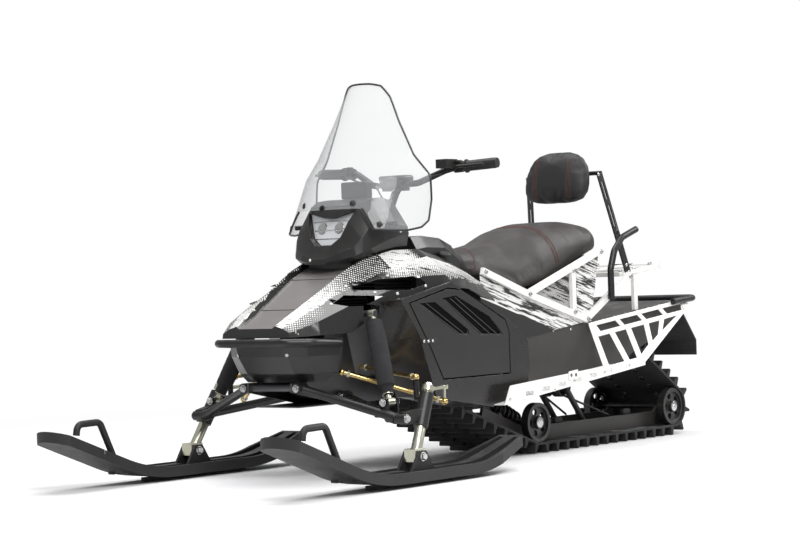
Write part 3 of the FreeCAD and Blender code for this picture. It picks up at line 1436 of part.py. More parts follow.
bar_half = float(S.bar_half_width)
grip_x = float(S.grip_x)
grip_z = float(S.grip_z)
bar_path = [Vec(grip_x - 4, bar_half, grip_z), Vec(grip_x + 14, 205, grip_z - 8),
            Vec(post_top.x + 4, 96, post_top.z + 18),
            Vec(post_top.x + 4, -96, post_top.z + 18), Vec(grip_x + 14, -205, grip_z - 8), Vec(grip_x - 4,
                                                                                               -bar_half, grip_z)]
bar = tube(bar_path, S.bar_radius, 42)
clamp = Part.makeBox(46, 84, 46, Vec(post_top.x - 20, -42, post_top.z + 0.3 - 4))
grips = []
for side in (-1, 1):
    end = Vec(grip_x - 4, bar_half * side, grip_z)
    inward = (Vec(grip_x + 14, 205 * side, grip_z - 8) - end).normalize()
    grips.append(strut(end, end + inward * float(S.grip_length), S.grip_radius))
node(shaped("Handlebar", bar.multiFuse([clamp, post] + grips)), "handlebar")

controls = []
for side in (-1, 1):
    end = Vec(grip_x - 4, bar_half * side, grip_z)
    inward = (Vec(grip_x + 14, 205 * side, grip_z - 8) - end).normalize()
    perch = end + inward * 150
    lever_from = perch + Vec(26, 0, 0)
    pieces = [strut(perch - inward * 15, perch + inward * 15, 19), strut(perch, lever_from, 7),
              strut(lever_from, end + Vec(52, 0, -4) + inward * 20, 5)]
    if side > 0:
        pieces.append(Part.makeBox(60, 46, 30, perch + Vec(8, -46, -4)))
    control = pieces[0].multiFuse(pieces[1:])
    controls.append(control.cut(bar).cut(grips[0]).cut(grips[1]))
solids = [shape.Solids[0] for shape in controls]
node(group("HandControls", [shaped("Control_right", solids[0]), shaped("Control_left", solids[1])]),
     "hand_controls")


# Skis, loops, spindles and tie rods

ski_y = float(S.ski_stance) / 2
ski_low = float(S.wear_bar_height)
tip = (float(S.ski_tip_x), float(S.ski_tip_z))
tail = (float(S.ski_tail_x), float(S.ski_tail_z))
flat_front = 1010
flat_rear = 460


def ski_line(rise):
    """A line along the ski, a height above its underside, from tail to tip."""
    spots = [Vec(tail[0], 0, tail[1] + rise), Vec(flat_rear, 0, ski_low + rise),
             Vec(flat_front, 0, ski_low + rise),
             Vec(tip[0], 0, tip[1] + rise)]
    edges = []
    here = spots[0]
    for corner, back_point, next_point, radius in ((spots[1], spots[0], spots[2], 500),
                                                   (spots[2], spots[1], spots[3], 620)):
        back = (back_point - corner).normalize()
        ahead = (next_point - corner).normalize()
        half = back.getAngle(ahead) / 2
        reach = radius / math.tan(half)
        start = corner + back * reach
        end = corner + ahead * reach
        middle = corner + (back + ahead).normalize() * (radius / math.sin(half))
        top = middle + (corner - middle).normalize() * radius
        edges.append(Part.LineSegment(here, start).toShape())
        edges.append(Part.Arc(start, top, end).toShape())
        here = end
    edges.append(Part.LineSegment(here, spots[3]).toShape())
    return edges


def ski_band(low, high):
    """The area between two lines along the ski."""
    under = ski_line(low)
    over = ski_line(high)
    ends = [Part.LineSegment(Vec(tail[0], 0, tail[1] + low), Vec(tail[0], 0, tail[1] + high)).toShape(),
            Part.LineSegment(Vec(tip[0], 0, tip[1] + low), Vec(tip[0], 0, tip[1] + high)).toShape()]
    wire = Part.Wire(Part.__sortEdges__(under + over + ends))
    return Part.Face(wire)


def ski_plan(inset):
    """The ski seen from above: tapered tail and a rounded tip."""
    half = float(S.ski_width) / 2 - inset
    nose = tip[0] - inset
    stern = tail[0] + inset
    corners = [Vec(stern, ski_y - half * 0.62, 0), Vec(stern + 150, ski_y - half, 0),
               Vec(nose - 180, ski_y - half, 0)]
    arc = Part.Arc(corners[2], Vec(nose, ski_y, 0), Vec(nose - 180, ski_y + half, 0))
    rear = [Vec(nose - 180, ski_y + half, 0), Vec(stern + 150, ski_y + half, 0),
            Vec(stern, ski_y + half * 0.62, 0)]
    edges = [Part.LineSegment(corners[0], corners[1]).toShape(),
             Part.LineSegment(corners[1], corners[2]).toShape(),
             arc.toShape(), Part.LineSegment(rear[0], rear[1]).toShape(), Part.LineSegment(rear[1],
                                                                                           rear[2]).toShape(),
             Part.LineSegment(rear[2], corners[0]).toShape()]
    return Part.Face(Part.Wire(edges)).extrude(Vec(0, 0, 400))


def make_loop():
    spots = [Vec(1268, ski_y, 172), Vec(1262, ski_y, 206), Vec(1165, ski_y, 208), Vec(1096, ski_y, 66)]
    return tube(spots, S.loop_radius, 24)


def make_ski():
    half = float(S.ski_width) / 2
    base_z = float(S.ski_base)
    rim_z = float(S.ski_rim)
    blank = between(ski_band(0, rim_z), ski_y - half - 1, ski_y + half + 1).common(ski_plan(0))
    troughs = between(ski_band(base_z, rim_z + 40), ski_y - half,
                      ski_y + half).common(ski_plan(float(S.ski_rim_width)))
    spine = Part.makeBox(1300, float(S.ski_spine_width), 400,
                         Vec(200, ski_y - float(S.ski_spine_width) / 2, 0))
    ski = blank.cut(troughs.cut(spine))
    bar_half_width = float(S.wear_bar_width) / 2
    wear = Part.makeBox(flat_front - flat_rear - 60, 2 * bar_half_width, ski_low + 2,
                        Vec(flat_rear + 30, ski_y - bar_half_width, 0))
    ski = ski.fuse(wear)
    slot = Part.makeBox(150, float(S.ski_spine_width) + 2, 60,
                        Vec(foot.x - 75, ski_y - float(S.ski_spine_width) / 2 - 1, ski_low + base_z + 6))
    ski = ski.cut(slot)
    ears = []
    for side in (-1, 1):
        ears.append(side_prism([(foot.x - 70, ski_low + 10), (foot.x + 70, ski_low + 10),
                                (foot.x + 18, foot.z + 18),
                                (foot.x - 18, foot.z + 18)], ski_y + side * 27 - 4, ski_y + side * 27 + 4))
    bolt = Part.makeCylinder(6, 62, Vec(foot.x, ski_y - 31, foot.z), Vec(0, 1, 0))
    return ski.multiFuse(ears + [bolt, make_loop()])


def make_spindle():
    bottom = foot + kingpin * 8
    shaft = strut(bottom, kingpin_top + kingpin * 6, S.spindle_radius)
    sleeve = strut(bottom, housing_low - kingpin * 0.6, S.sleeve_radius)
    foot_block = Part.makeBox(54, 44, 40, Vec(foot.x - 27, ski_y - 22, foot.z - 16))
    arm_from = foot + kingpin * (kingpin_length * 0.96)
    arm_to = ball_place + Vec(0, 0, 46)
    arm = strip(arm_from, arm_to, 24, 9, kingpin)
    stud = strut(arm_to, ball_place + Vec(0, 0, 11.3), 5)
    cap = strut(arm_from - kingpin * 7, arm_from + kingpin * 12, 19)
    eye = strut(arm_to - Vec(0, 0, 6), arm_to + Vec(0, 0, 6), 13)
    bore = Part.makeCylinder(6.3, 80, Vec(foot.x, ski_y - 40, foot.z), Vec(0, 1, 0))
    return shaft.multiFuse([sleeve, foot_block, arm, stud, cap, eye]).cut(bore)


ball_place = point(528, 432, 240)
rod_inner = point(717.6, 170, 343)


def make_tie_rod():
    ball = float(S.ball_radius)
    return strut(ball_place, rod_inner, S.rod_radius).multiFuse([Part.makeSphere(ball, ball_place),
                                                                Part.makeSphere(ball, rod_inner)])


for name, maker in (("ski", make_ski), ("spindle", make_spindle), ("tie_rod", make_tie_rod)):
    left = maker()
    node(shaped(name + "_l", left), name + "_left")
    node(shaped(name + "_r", flipped(left)), name + "_right")


# Check and write

def problems():
    """Every object that failed, and every piece with no sound shape."""
    found = []
    for item in doc.Objects:
        for word in ("Invalid", "Error"):
            if word in item.State:
                found.append("%s is %s" % (item.Label, word))
    for item in NODES:
        if item.Shape.isNull() or not item.Shape.isValid() or not item.Shape.Solids:
            found.append("%s has no sound solid" % item.Label)
    return found


doc.recompute()
faults = problems()
if faults:
    raise SystemExit("\n".join(faults))
os.makedirs("parts", exist_ok=True)
for item in NODES:
    item.Shape.exportStep("parts/%s.step" % item.Label)
    print("%-24s solids %d faces %d" % (item.Label, len(item.Shape.Solids), len(item.Shape.Faces)))
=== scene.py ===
"""Dress the snowmobile: finishes, soft parts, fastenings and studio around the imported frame."""

import logging
import math
from dataclasses import dataclass, field
from enum import Enum
from typing import Callable, Sequence

import bmesh
import bpy
from mathutils import Matrix, Vector
from mathutils.bvhtree import BVHTree


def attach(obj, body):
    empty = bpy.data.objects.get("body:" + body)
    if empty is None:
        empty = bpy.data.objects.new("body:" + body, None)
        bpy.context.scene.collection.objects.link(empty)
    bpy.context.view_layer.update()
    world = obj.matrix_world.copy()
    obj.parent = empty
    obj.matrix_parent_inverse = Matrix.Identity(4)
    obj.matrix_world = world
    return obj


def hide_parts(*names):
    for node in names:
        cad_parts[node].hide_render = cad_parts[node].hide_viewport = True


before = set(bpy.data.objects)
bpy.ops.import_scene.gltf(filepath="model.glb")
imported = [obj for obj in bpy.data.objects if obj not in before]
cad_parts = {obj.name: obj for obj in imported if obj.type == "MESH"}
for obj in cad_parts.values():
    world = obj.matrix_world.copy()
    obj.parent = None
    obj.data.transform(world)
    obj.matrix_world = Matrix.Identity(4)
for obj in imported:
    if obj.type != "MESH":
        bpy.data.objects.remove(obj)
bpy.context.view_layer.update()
LOG = logging.getLogger("snowmobile")
MM = 0.001

Point = tuple[float, float, float]
Rows = tuple[tuple[float, ...], ...]
DUST_COLOUR: Point = (0.55, 0.55, 0.56)


# Small tools


def vec(x: float, y: float, z: float) -> Vector:
    """Return a place given in millimetres as metres."""
    return Vector((x, y, z)) * MM


# Shader node groups


class NodeTree:
    """A short way to add and join nodes in one tree."""

    def __init__(self, tree: bpy.types.NodeTree) -> None:
        """Keep the tree that the nodes go into."""
        self.tree = tree

    def add(self, kind: str, **values: object) -> bpy.types.Node:
        """Add a node.

        Args:
            kind: The node's type name, without its ShaderNode prefix.
            values: Properties of the node.

        Returns:
            The new node.
        """
        node = self.tree.nodes.new(kind if kind.startswith("NodeGroup") else "ShaderNode" + kind)
        for name, value in values.items():
            setattr(node, name, value)
        return node

    def wire(self, start: bpy.types.NodeSocket, node: bpy.types.Node, socket: str | int) -> None:
        """Join an output to the named input of a node."""
        self.tree.links.new(start, node.inputs[socket])

    def math(self, operation: str, first: object, second: object = None,
             third: object = None) -> bpy.types.NodeSocket:
        """Add a Math node.

        Args:
            operation: Blender's name for the operation.
            first: A number or an output socket.
            second: A number or an output socket.
            third: A number or an output socket.

        Returns:
            The node's output.
        """
        node = self.add("Math", operation=operation)
        for i, value in enumerate((first, second, third)):
            if isinstance(value, (int, float)):
                node.inputs[i].default_value = value
            elif value is not None:
                self.tree.links.new(value, node.inputs[i])
        return node.outputs[0]

    def noise(self, place: bpy.types.NodeSocket, scale: float, detail: float = 3.0,
              rough: float = 0.55) -> bpy.types.NodeSocket:
        """Add a noise texture and return its value."""
        node = self.add("TexNoise")
        node.inputs["Scale"].default_value = scale
        node.inputs["Detail"].default_value = detail
        node.inputs["Roughness"].default_value = rough
        self.wire(place, node, "Vector")
        return node.outputs["Fac"]

    def ramp(self, value: bpy.types.NodeSocket, low: float, high: float) -> bpy.types.NodeSocket:
        """Stretch a value so that low becomes 0 and high becomes 1, and hold it there."""
        node = self.add("MapRange", clamp=True)
        node.inputs["From Min"].default_value = low
        node.inputs["From Max"].default_value = high
        self.wire(value, node, "Value")
        return node.outputs["Result"]

    def mix(self, share: object, first: object, second: object) -> bpy.types.NodeSocket:
        """Mix two colours.

        Args:
            share: A number or a socket, 0 for the first colour and 1 for the second.
            first: A colour of three numbers, or a socket.
            second: A colour of three numbers, or a socket.

        Returns:
            The mixed colour.
        """
        node = self.add("Mix", data_type="RGBA")
        for socket, value in ((0, share), (6, first), (7, second)):
            if isinstance(value, bpy.types.NodeSocket):
                self.tree.links.new(value, node.inputs[socket])
            elif isinstance(value, tuple):
                node.inputs[socket].default_value = (*value, 1.0)
            else:
                node.inputs[socket].default_value = value
        return node.outputs[2]


def node_group(name: str, inputs: dict[str, object], outputs: dict[str, str],
               build: Callable[[NodeTree, bpy.types.Node, bpy.types.Node], None]) -> bpy.types.NodeTree:
    """Make a shader node group.

    Args:
        name: The group's name.
        inputs: Input names with a default: a number, or a colour of three numbers.
        outputs: Output names with a socket type.
        build: Fills the tree between the group's input and output nodes.

    Returns:
        The group.
    """
    tree = bpy.data.node_groups.new(name, "ShaderNodeTree")
    for label, value in inputs.items():
        kind = "NodeSocketFloat" if isinstance(value, (int, float)) else "NodeSocketColor"
        socket = tree.interface.new_socket(label, in_out="INPUT", socket_type=kind)
        socket.default_value = value if kind == "NodeSocketFloat" else (*value, 1.0)
    for label, kind in outputs.items():
        tree.interface.new_socket(label, in_out="OUTPUT", socket_type=kind)
    build(NodeTree(tree), tree.nodes.new("NodeGroupInput"), tree.nodes.new("NodeGroupOutput"))
    return tree


def build_wear(nodes: NodeTree, start: bpy.types.Node, end: bpy.types.Node) -> None:
    """Colour that is lightened on edges as wear and as a painted edge highlight, mottled over the face, and
    dusted on upward faces.
    """
    place = nodes.add("TexCoord").outputs["Object"]
    geometry = nodes.add("NewGeometry")
    soft = nodes.add("Bevel", samples=4)
    nodes.tree.links.new(start.outputs["Edge width"], soft.inputs["Radius"])
    dot = nodes.add("VectorMath", operation="DOT_PRODUCT")
    nodes.wire(soft.outputs[0], dot, 0)
    nodes.wire(geometry.outputs["Normal"], dot, 1)
    # edges lighten towards the wear colour: partly real wear, partly a painted highlight along the edges
    edge = nodes.ramp(dot.outputs["Value"], 0.995, 0.90)
    broken = nodes.ramp(nodes.noise(place, 90.0, 4.0), 0.42, 0.62)
    rubbed_and_highlight = nodes.math("MULTIPLY", nodes.math("MULTIPLY", edge, broken), start.outputs["Wear and highlight"])
    mottle = nodes.math("MULTIPLY", nodes.ramp(nodes.noise(place, 6.0, 4.0), 0.35, 0.7),
                        start.outputs["Mottle"])
    body = nodes.mix(mottle, start.outputs["Colour"], start.outputs["Mottle colour"])
    worn_and_highlit = nodes.mix(rubbed_and_highlight, body, start.outputs["Wear and highlight colour"])
    upward = nodes.add("SeparateXYZ")
    nodes.wire(geometry.outputs["Normal"], upward, 0)
    settle = nodes.math("MULTIPLY", nodes.ramp(upward.outputs["Z"], 0.35, 1.0), nodes.ramp(
        nodes.noise(place, 14.0, 5.0), 0.48, 0.72))
    dust = nodes.math("MULTIPLY", settle, start.outputs["Dust"])
    nodes.wire(nodes.mix(dust, worn_and_highlit, DUST_COLOUR), end, "Colour")
    nodes.wire(nodes.math("ADD", rubbed_and_highlight, dust), end, "Mask")
    nodes.wire(soft.outputs[0], end, "Normal")


def build_grain(nodes: NodeTree, start: bpy.types.Node, end: bpy.types.Node) -> None:
    """Fine grain of moulded plastic or cast metal, as a height, with a roughness that varies."""
    place = nodes.add("TexCoord").outputs["Object"]
    cells = nodes.add("TexVoronoi")
    nodes.wire(place, cells, "Vector")
    nodes.tree.links.new(start.outputs["Scale"], cells.inputs["Scale"])
    fine = nodes.noise(place, 900.0, 2.0)
    nodes.wire(nodes.math("ADD", nodes.math("MULTIPLY", cells.outputs["Distance"], 0.7),
                          nodes.math("MULTIPLY", fine, 0.3)), end, "Height")
    smear = nodes.ramp(nodes.noise(place, 9.0, 5.0, 0.65), 0.3, 0.75)
    spread = nodes.math("SUBTRACT", smear, 0.5)
    nodes.wire(nodes.math("ADD", start.outputs["Roughness"], nodes.math(
        "MULTIPLY", spread, start.outputs["Smear"])), end, "Roughness")


def build_weave(nodes: NodeTree, start: bpy.types.Node, end: bpy.types.Node) -> None:
    """A plain weave of crossing threads, as a height and a mask of the gaps."""
    place = nodes.add("TexCoord").outputs["Object"]
    split = nodes.add("SeparateXYZ")
    nodes.wire(place, split, 0)
    along = nodes.math("SINE", nodes.math("MULTIPLY", nodes.math(
        "ADD", split.outputs["Z"], split.outputs["X"]), start.outputs["Scale"]))
    across = nodes.math("SINE", nodes.math("MULTIPLY", nodes.math(
        "SUBTRACT", split.outputs["Z"], split.outputs["Y"]), start.outputs["Scale"]))
    height = nodes.math("MULTIPLY", along, across)
    nodes.wire(height, end, "Height")
    nodes.wire(nodes.ramp(height, 0.2, -0.8), end, "Mask")


def build_leather(nodes: NodeTree, start: bpy.types.Node, end: bpy.types.Node) -> None:
    """Pebbled vinyl with fine creases, as a height and a mask of its creases."""
    place = nodes.add("TexCoord").outputs["Object"]
    warp = nodes.add("TexNoise")
    warp.inputs["Scale"].default_value = 40.0
    nodes.wire(place, warp, "Vector")
    shift = nodes.add("VectorMath", operation="MULTIPLY_ADD")
    shift.inputs[1].default_value = (0.006, 0.006, 0.006)
    nodes.wire(warp.outputs["Color"], shift, 0)
    nodes.wire(place, shift, 2)
    cells = nodes.add("TexVoronoi", feature="DISTANCE_TO_EDGE")
    nodes.wire(shift.outputs[0], cells, "Vector")
    nodes.tree.links.new(start.outputs["Scale"], cells.inputs["Scale"])
    pebble = nodes.ramp(cells.outputs["Distance"], 0.0, 0.12)
    nodes.wire(pebble, end, "Height")
    nodes.wire(nodes.math("SUBTRACT", 1.0, pebble), end, "Mask")


def build_dots(nodes: NodeTree, start: bpy.types.Node, end: bpy.types.Node) -> None:
    """Printed halftone: dots that grow and melt together as their strength rises, scratched dry."""
    place = nodes.add("TexCoord").outputs["Object"]
    flat = nodes.add("SeparateXYZ")
    nodes.wire(place, flat, 0)
    u = nodes.math("MULTIPLY", flat.outputs["X"], start.outputs["Dots per metre"])
    rise = nodes.math("MULTIPLY", nodes.math("SUBTRACT", flat.outputs["Z"], flat.outputs["Y"]),
                      start.outputs["Upright"])
    v = nodes.math("MULTIPLY", nodes.math("ADD", flat.outputs["Y"], rise), start.outputs["Dots per metre"])
    a = nodes.math("COSINE", nodes.math("ADD", u, v))
    b = nodes.math("COSINE", nodes.math("SUBTRACT", u, v))
    pattern = nodes.math("MULTIPLY_ADD", nodes.math("ADD", a, b), 0.25, 0.5)
    level = nodes.math("SUBTRACT", 1.0, start.outputs["Strength"])
    dots = nodes.ramp(nodes.math("SUBTRACT", pattern, level), -0.04, 0.04)
    stretch = nodes.add("Mapping", vector_type="TEXTURE")
    stretch.inputs["Scale"].default_value = (0.17, 0.04, 0.012)
    stretch.inputs["Rotation"].default_value = (0.0, math.radians(-16), 0.0)
    nodes.wire(place, stretch, "Vector")
    scratch = nodes.noise(stretch.outputs[0], 1.6, 6.0, 0.7)
    dry = nodes.ramp(nodes.math("SUBTRACT", start.outputs["Cover"], scratch), 0.0, 0.04)
    gate = nodes.ramp(start.outputs["Strength"], 0.02, 0.08)
    nodes.wire(nodes.math("MULTIPLY", nodes.math("MULTIPLY", dots, dry), gate), end, "Mask")


@dataclass(frozen=True)
class Effects:
    """The node groups that the materials share."""

    wear_and_highlight: bpy.types.NodeTree
    grain: bpy.types.NodeTree
    weave: bpy.types.NodeTree
    leather: bpy.types.NodeTree
    dots: bpy.types.NodeTree

    @staticmethod
    def make() -> "Effects":
        """Build each group once."""
        value = "NodeSocketFloat"
        return Effects(
            # the edge colour of this group is real wear and a painted edge highlight together
            wear_and_highlight=node_group("Worn and highlighted surface",
                            {"Colour": (0.5, 0.5, 0.5), "Mottle colour": (0.4, 0.4, 0.4), "Mottle": 0.3,
                             "Wear and highlight colour": (0.7, 0.7, 0.7), "Wear and highlight": 0.3, "Edge width": 0.002, "Dust": 0.1},
                            {"Colour": "NodeSocketColor", "Mask": value, "Normal": "NodeSocketVector"},
                            build_wear),
            grain=node_group("Moulded grain", {"Scale": 700.0, "Roughness": 0.5, "Smear": 0.1},
                             {"Height": value, "Roughness": value}, build_grain),
            weave=node_group("Woven threads", {"Scale": 2600.0}, {"Height": value, "Mask": value}, build_weave),
            leather=node_group("Pebbled vinyl", {"Scale": 420.0}, {"Height": value, "Mask": value},
                               build_leather),
            dots=node_group("Halftone",
                            {"Dots per metre": 900.0, "Strength": 0.5, "Cover": 0.6, "Upright": 0.0},
                            {"Mask": value}, build_dots),
        )


EFFECTS = Effects.make()


# Finishes


@dataclass(frozen=True)
class Finish:
    """How a hard surface looks: colour, gloss, grain, and wear with a painted edge highlight."""

    name: str
    colour: Point
    mottle_colour: Point
    roughness: float
    metallic: float = 0.0
    coat: float = 0.0
    grain_scale: float = 700.0
    grain_depth: float = 0.05
    mottle: float = 0.35
    # the rubbed edges' strength and colour, lighter than the body: real wear and a painted edge highlight
    # together
    wear_and_highlight: float = 0.3
    wear_and_highlight_colour: Point = (0.25, 0.25, 0.25)
    edge_width: float = 0.0015
    dust: float = 0.08
    smear: float = 0.12
    ior: float = 1.5

    def material(self) -> bpy.types.Material:
        """Return this finish as a material, built once."""
        found = bpy.data.materials.get(self.name)
        return found or self.build()

    def build(self) -> bpy.types.Material:
        """Build the material's nodes.

        Returns:
            The new material.
        """
        made = bpy.data.materials.new(self.name)
        made.use_nodes = True
        nodes = NodeTree(made.node_tree)
        shader = made.node_tree.nodes["Principled BSDF"]
        shader.inputs["Metallic"].default_value = self.metallic
        shader.inputs["Coat Weight"].default_value = self.coat
        shader.inputs["Coat Roughness"].default_value = 0.12
        shader.inputs["IOR"].default_value = self.ior
        worn_and_highlit = nodes.add("Group", node_tree=EFFECTS.wear_and_highlight)
        for socket, value in (("Colour", self.colour), ("Mottle colour", self.mottle_colour),
                              ("Wear and highlight colour", self.wear_and_highlight_colour)):
            worn_and_highlit.inputs[socket].default_value = (*value, 1.0)
        for socket, value in (("Mottle", self.mottle), ("Wear and highlight", self.wear_and_highlight), ("Edge width", self.edge_width),
                              ("Dust", self.dust)):
            worn_and_highlit.inputs[socket].default_value = value
        height, rough = self.relief(nodes)
        bump = nodes.add("Bump")
        bump.inputs["Strength"].default_value = self.grain_depth
        bump.inputs["Distance"].default_value = MM
        nodes.wire(height, bump, "Height")
        nodes.wire(worn_and_highlit.outputs["Normal"], bump, "Normal")
        nodes.wire(self.print_over(nodes, worn_and_highlit.outputs["Colour"]), shader, "Base Color")
        worn_rough = nodes.math("MULTIPLY", worn_and_highlit.outputs["Mask"], 0.25)
        nodes.wire(nodes.math("ADD", rough, worn_rough), shader, "Roughness")
        nodes.wire(bump.outputs[0], shader, "Normal")
        return made

    def relief(self, nodes: NodeTree) -> tuple[bpy.types.NodeSocket, bpy.types.NodeSocket]:
        """Return the surface's height and its roughness."""
        grain = nodes.add("Group", node_tree=EFFECTS.grain)
        grain.inputs["Scale"].default_value = self.grain_scale
        grain.inputs["Roughness"].default_value = self.roughness
        grain.inputs["Smear"].default_value = self.smear
        return grain.outputs["Height"], grain.outputs["Roughness"]

    def print_over(self, nodes: NodeTree, colour: bpy.types.NodeSocket) -> bpy.types.NodeSocket:
        """Return the colour as it is; printed finishes lay their print over it."""
        return colour


@dataclass(frozen=True)
class Printed(Finish):
    """A panel with a white halftone print where its print attribute is above 0."""

    ink: Point = (0.80, 0.80, 0.78)
    dots: float = 620.0
    cover: float = 0.6
    upright: float = 0.0

    def print_over(self, nodes: NodeTree, colour: bpy.types.NodeSocket) -> bpy.types.NodeSocket:
        """Lay the halftone over the colour."""
        reader = nodes.add("Attribute", attribute_name="print")
        tone = nodes.add("Group", node_tree=EFFECTS.dots)
        tone.inputs["Dots per metre"].default_value = self.dots
        tone.inputs["Cover"].default_value = self.cover
        tone.inputs["Upright"].default_value = self.upright
        nodes.wire(reader.outputs["Fac"], tone, "Strength")
        return nodes.mix(tone.outputs["Mask"], colour, self.ink)


@dataclass(frozen=True)
class Vinyl(Finish):
    """Pebbled upholstery vinyl."""

    def relief(self, nodes: NodeTree) -> tuple[bpy.types.NodeSocket, bpy.types.NodeSocket]:
        """Return the pebbles' height, rougher in the creases."""
        skin = nodes.add("Group", node_tree=EFFECTS.leather)
        skin.inputs["Scale"].default_value = self.grain_scale
        return skin.outputs["Height"], nodes.math("MULTIPLY_ADD", skin.outputs["Mask"], 0.12, self.roughness)


@dataclass(frozen=True)
class Fabric(Finish):
    """Woven cloth."""

    def relief(self, nodes: NodeTree) -> tuple[bpy.types.NodeSocket, bpy.types.NodeSocket]:
        """Return the threads' height, rougher in the gaps."""
        threads = nodes.add("Group", node_tree=EFFECTS.weave)
        threads.inputs["Scale"].default_value = self.grain_scale
        rough = nodes.math("MULTIPLY_ADD", threads.outputs["Mask"], 0.1, self.roughness)
        return threads.outputs["Height"], rough


@dataclass(frozen=True)
class Clear:
    """A clear or tinted sheet whose reflection grows towards its edges."""

    name: str
    colour: Point
    alpha: float
    edge_alpha: float = 0.6
    roughness: float = 0.05

    def material(self) -> bpy.types.Material:
        """Return this finish as a material, built once."""
        found = bpy.data.materials.get(self.name)
        if found:
            return found
        made = bpy.data.materials.new(self.name)
        made.use_nodes = True
        nodes = NodeTree(made.node_tree)
        shader = made.node_tree.nodes["Principled BSDF"]
        shader.inputs["Base Color"].default_value = (*self.colour, 1.0)
        shader.inputs["Coat Weight"].default_value = 0.5
        place = nodes.add("TexCoord").outputs["Object"]
        smear = nodes.ramp(nodes.noise(place, 7.0, 4.0), 0.35, 0.8)
        nodes.wire(nodes.math("MULTIPLY_ADD", smear, 0.08, self.roughness), shader, "Roughness")
        facing = nodes.add("LayerWeight")
        facing.inputs["Blend"].default_value = 0.35
        glance = nodes.math("POWER", facing.outputs["Facing"], 2.5)
        nodes.wire(nodes.math("MULTIPLY_ADD", glance, self.edge_alpha, self.alpha), shader, "Alpha")
        return made


